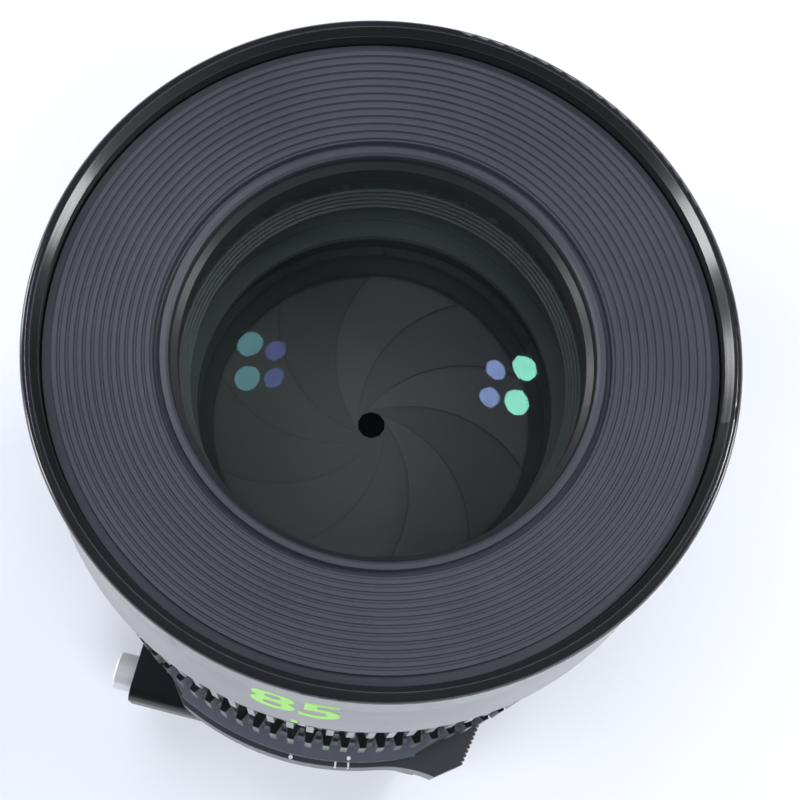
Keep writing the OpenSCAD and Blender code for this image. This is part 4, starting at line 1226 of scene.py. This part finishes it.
class LENS_OT_stage(bpy.types.Operator):
    """Set the table, the soft studio light and the camera"""

    bl_idname = "lens.stage"
    bl_label = "Studio"

    def execute(self, context):
        scene = context.scene
        studio = scene.lens_stage
        scene.view_settings.view_transform = "Standard"
        # Light crosses six coated faces to the iris and six on its way back
        scene.cycles.transparent_max_bounces = 32
        self.table(scene, studio)
        self.room(scene, studio)
        self.lights(studio)
        self.camera(scene)
        return {"FINISHED"}

    def table(self, scene, studio):
        """A wide flat table under the lens."""
        half = 1.5
        level = CAD_BOX[0][2]
        corners = [(-half, -half), (half, -half), (half, half), (-half, half)]
        mesh = bpy.data.meshes.new("table")
        mesh.from_pydata([(x, y, level) for x, y in corners], [], [(0, 1, 2, 3)])
        table = bpy.data.objects.new("table", mesh)
        scene.collection.objects.link(table)
        # Laminate table top: an even matt white
        material, tree = new_material("matt white laminate")
        surface = add(
            tree, "ShaderNodeBsdfDiffuse", {"Color": rgba(studio.floor), "Roughness": 0.3}
        )
        add(tree, "ShaderNodeOutputMaterial", {"Surface": surface.outputs[0]})
        mesh.materials.append(material)

    def room(self, scene, studio):
        """White walls, darker behind the camera and overhead."""
        white, behind, overhead = linear("#e9effe"), linear("#50535b"), linear("#4a4d55")
        world = bpy.data.worlds.new("studio room")
        world.use_nodes = True
        world.node_tree.nodes.clear()
        tree = world.node_tree
        ray = add(tree, "ShaderNodeTexCoord").outputs["Generated"]
        way = add(tree, "ShaderNodeSeparateXYZ", {0: ray})
        rise = add(
            tree,
            "ShaderNodeMapRange",
            {"Value": way.outputs["Z"], "From Min": 0.04, "From Max": 0.34},
        )
        turn = add(
            tree,
            "ShaderNodeMapRange",
            {"Value": way.outputs["Y"], "From Min": -0.8, "From Max": 0.0},
        )
        walls = add(
            tree, "ShaderNodeMixRGB", {0: turn.outputs[0], 1: rgba(behind), 2: rgba(white)}
        )
        room = add(
            tree,
            "ShaderNodeMixRGB",
            {0: rise.outputs[0], 1: walls.outputs[0], 2: rgba(overhead)},
        )
        sky = add(
            tree, "ShaderNodeBackground", {"Color": room.outputs[0], "Strength": studio.sky}
        )
        add(tree, "ShaderNodeOutputWorld", {"Surface": sky.outputs[0]})
        scene.world = world

    def lights(self, studio):
        """Round lamps that glint in the glass, soft light from above, and low windows."""
        # Two strong lamps of plain white, and two weaker ones of a bluer white
        plain, bluer = (1.0, 1.0, 1.0), (0.68, 0.64, 1.0)
        lamps = [
            ((0.489, 0.424, 0.762), 1.0, plain),
            ((0.504, 0.289, 0.814), 1.0, plain),
            ((-0.522, 0.250, 0.816), 0.33, bluer),
            ((-0.508, 0.116, 0.854), 0.33, bluer),
        ]
        for i, (direction, share, colour) in enumerate(lamps):
            offset = Vector(direction) * 0.9
            name = f"round_lamp_{i + 1}"
            lamp = self.light(name, offset, "DISK", 0.09, studio.lamp * share, seen=True)
            lamp.color = colour
        softboxes = [(-0.55, 0.6, 0.8), (0.55, 0.6, 0.8), (-0.55, -0.6, 1.2), (0.55, -0.6, 1.2)]
        for i, (x, y, share) in enumerate(softboxes):
            offset = Vector((x, y, 1.1))
            name = f"softbox_{i + 1}"
            self.light(name, offset, "SQUARE", 0.8, studio.softbox * share, seen=False)
        # Low windows that glint along the bevel of the rim
        windows = [(-0.93, -0.30, 0.13), (0.965, 0.20, 0.09), (-0.97, 0.20, 0.08)]
        for i, direction in enumerate(windows):
            offset = Vector(direction) * 1.2
            self.light(f"window_{i + 1}", offset, "SQUARE", 0.32, studio.window, seen=True)

    def light(self, name, offset, shape, size, radiance, seen):
        """An area light aimed at the lens; its power follows from its radiance and size."""
        aim = Vector((0, 0, 0.09))
        data = bpy.data.lights.new(name, "AREA")
        data.shape = shape
        data.size = size
        area = math.pi * size * size / 4 if shape == "DISK" else size * size
        data.energy = math.pi * area * radiance
        lamp = bpy.data.objects.new(name, data)
        lamp.location = aim + offset
        lamp.rotation_euler = offset.to_track_quat("Z", "Y").to_euler()
        lamp.visible_glossy = seen
        bpy.context.scene.collection.objects.link(lamp)
        return data

    def camera(self, scene):
        """The photo's camera: its place, its view and which way is right were fitted to the rim."""
        place = (0.00415, -0.05558, 0.24587)
        forward = Vector((-0.0066, 0.3088, -0.9511)).normalized()
        right = Vector((0.9690, 0.2367, 0.0701))
        data = bpy.data.cameras.new("photo_camera")
        data.sensor_width = 36
        data.lens = 65.19
        data.clip_start = 0.01
        camera = bpy.data.objects.new("photo_camera", data)
        right = (right - forward * right.dot(forward)).normalized()
        up = right.cross(forward)
        turn = Matrix((right, up, -forward)).transposed().to_4x4()
        camera.matrix_world = Matrix.Translation(place) @ turn
        scene.collection.objects.link(camera)
        scene.camera = camera


class LENS_PT_panel(bpy.types.Panel):
    """The lens's pieces and settings"""

    bl_idname = "LENS_PT_panel"
    bl_label = "Cinema prime lens"
    bl_space_type = "VIEW_3D"
    bl_region_type = "UI"
    bl_category = "Lens"

    def draw(self, context):
        column = self.layout.column()
        for group in (
            context.scene.lens_finishes,
            context.scene.lens_marks,
            context.scene.lens_stage,
        ):
            for name in group.__annotations__:
                column.prop(group, name)
        for operator in OPERATORS:
            column.operator(operator.bl_idname)


GROUPS = (
    ("lens_finishes", LensFinishes),
    ("lens_marks", LensMarks),
    ("lens_stage", LensStage),
)
OPERATORS = (
    LENS_OT_stage,
    LENS_OT_barrels,
    LENS_OT_rings,
    LENS_OT_insides,
    LENS_OT_glass,
    LENS_OT_iris,
    LENS_OT_hardware,
    LENS_OT_front_marks,
    LENS_OT_focus_scale,
    LENS_OT_iris_scale,
    LENS_OT_index_marks,
    LENS_OT_mount_marks,
)


def register():
    for name, group in GROUPS:
        bpy.utils.register_class(group)
        setattr(bpy.types.Scene, name, PointerProperty(type=group))
    for operator in OPERATORS:
        bpy.utils.register_class(operator)
    bpy.utils.register_class(LENS_PT_panel)


def unregister():
    bpy.utils.unregister_class(LENS_PT_panel)
    for operator in reversed(OPERATORS):
        bpy.utils.unregister_class(operator)
    for name, group in reversed(GROUPS):
        delattr(bpy.types.Scene, name)
        bpy.utils.unregister_class(group)


def main():
    """Dress the lens: set the studio, finish the parts, draw the iris and paint the marks."""
    register()
    bpy.ops.lens.stage()
    bpy.ops.lens.barrels()
    bpy.ops.lens.rings()
    bpy.ops.lens.insides()
    bpy.ops.lens.glass()
    bpy.ops.lens.iris()
    bpy.ops.lens.hardware()
    bpy.ops.lens.front_marks()
    bpy.ops.lens.focus_scale()
    bpy.ops.lens.iris_scale()
    bpy.ops.lens.index_marks()
    bpy.ops.lens.mount_marks()


if __name__ == "__main__":
    main()
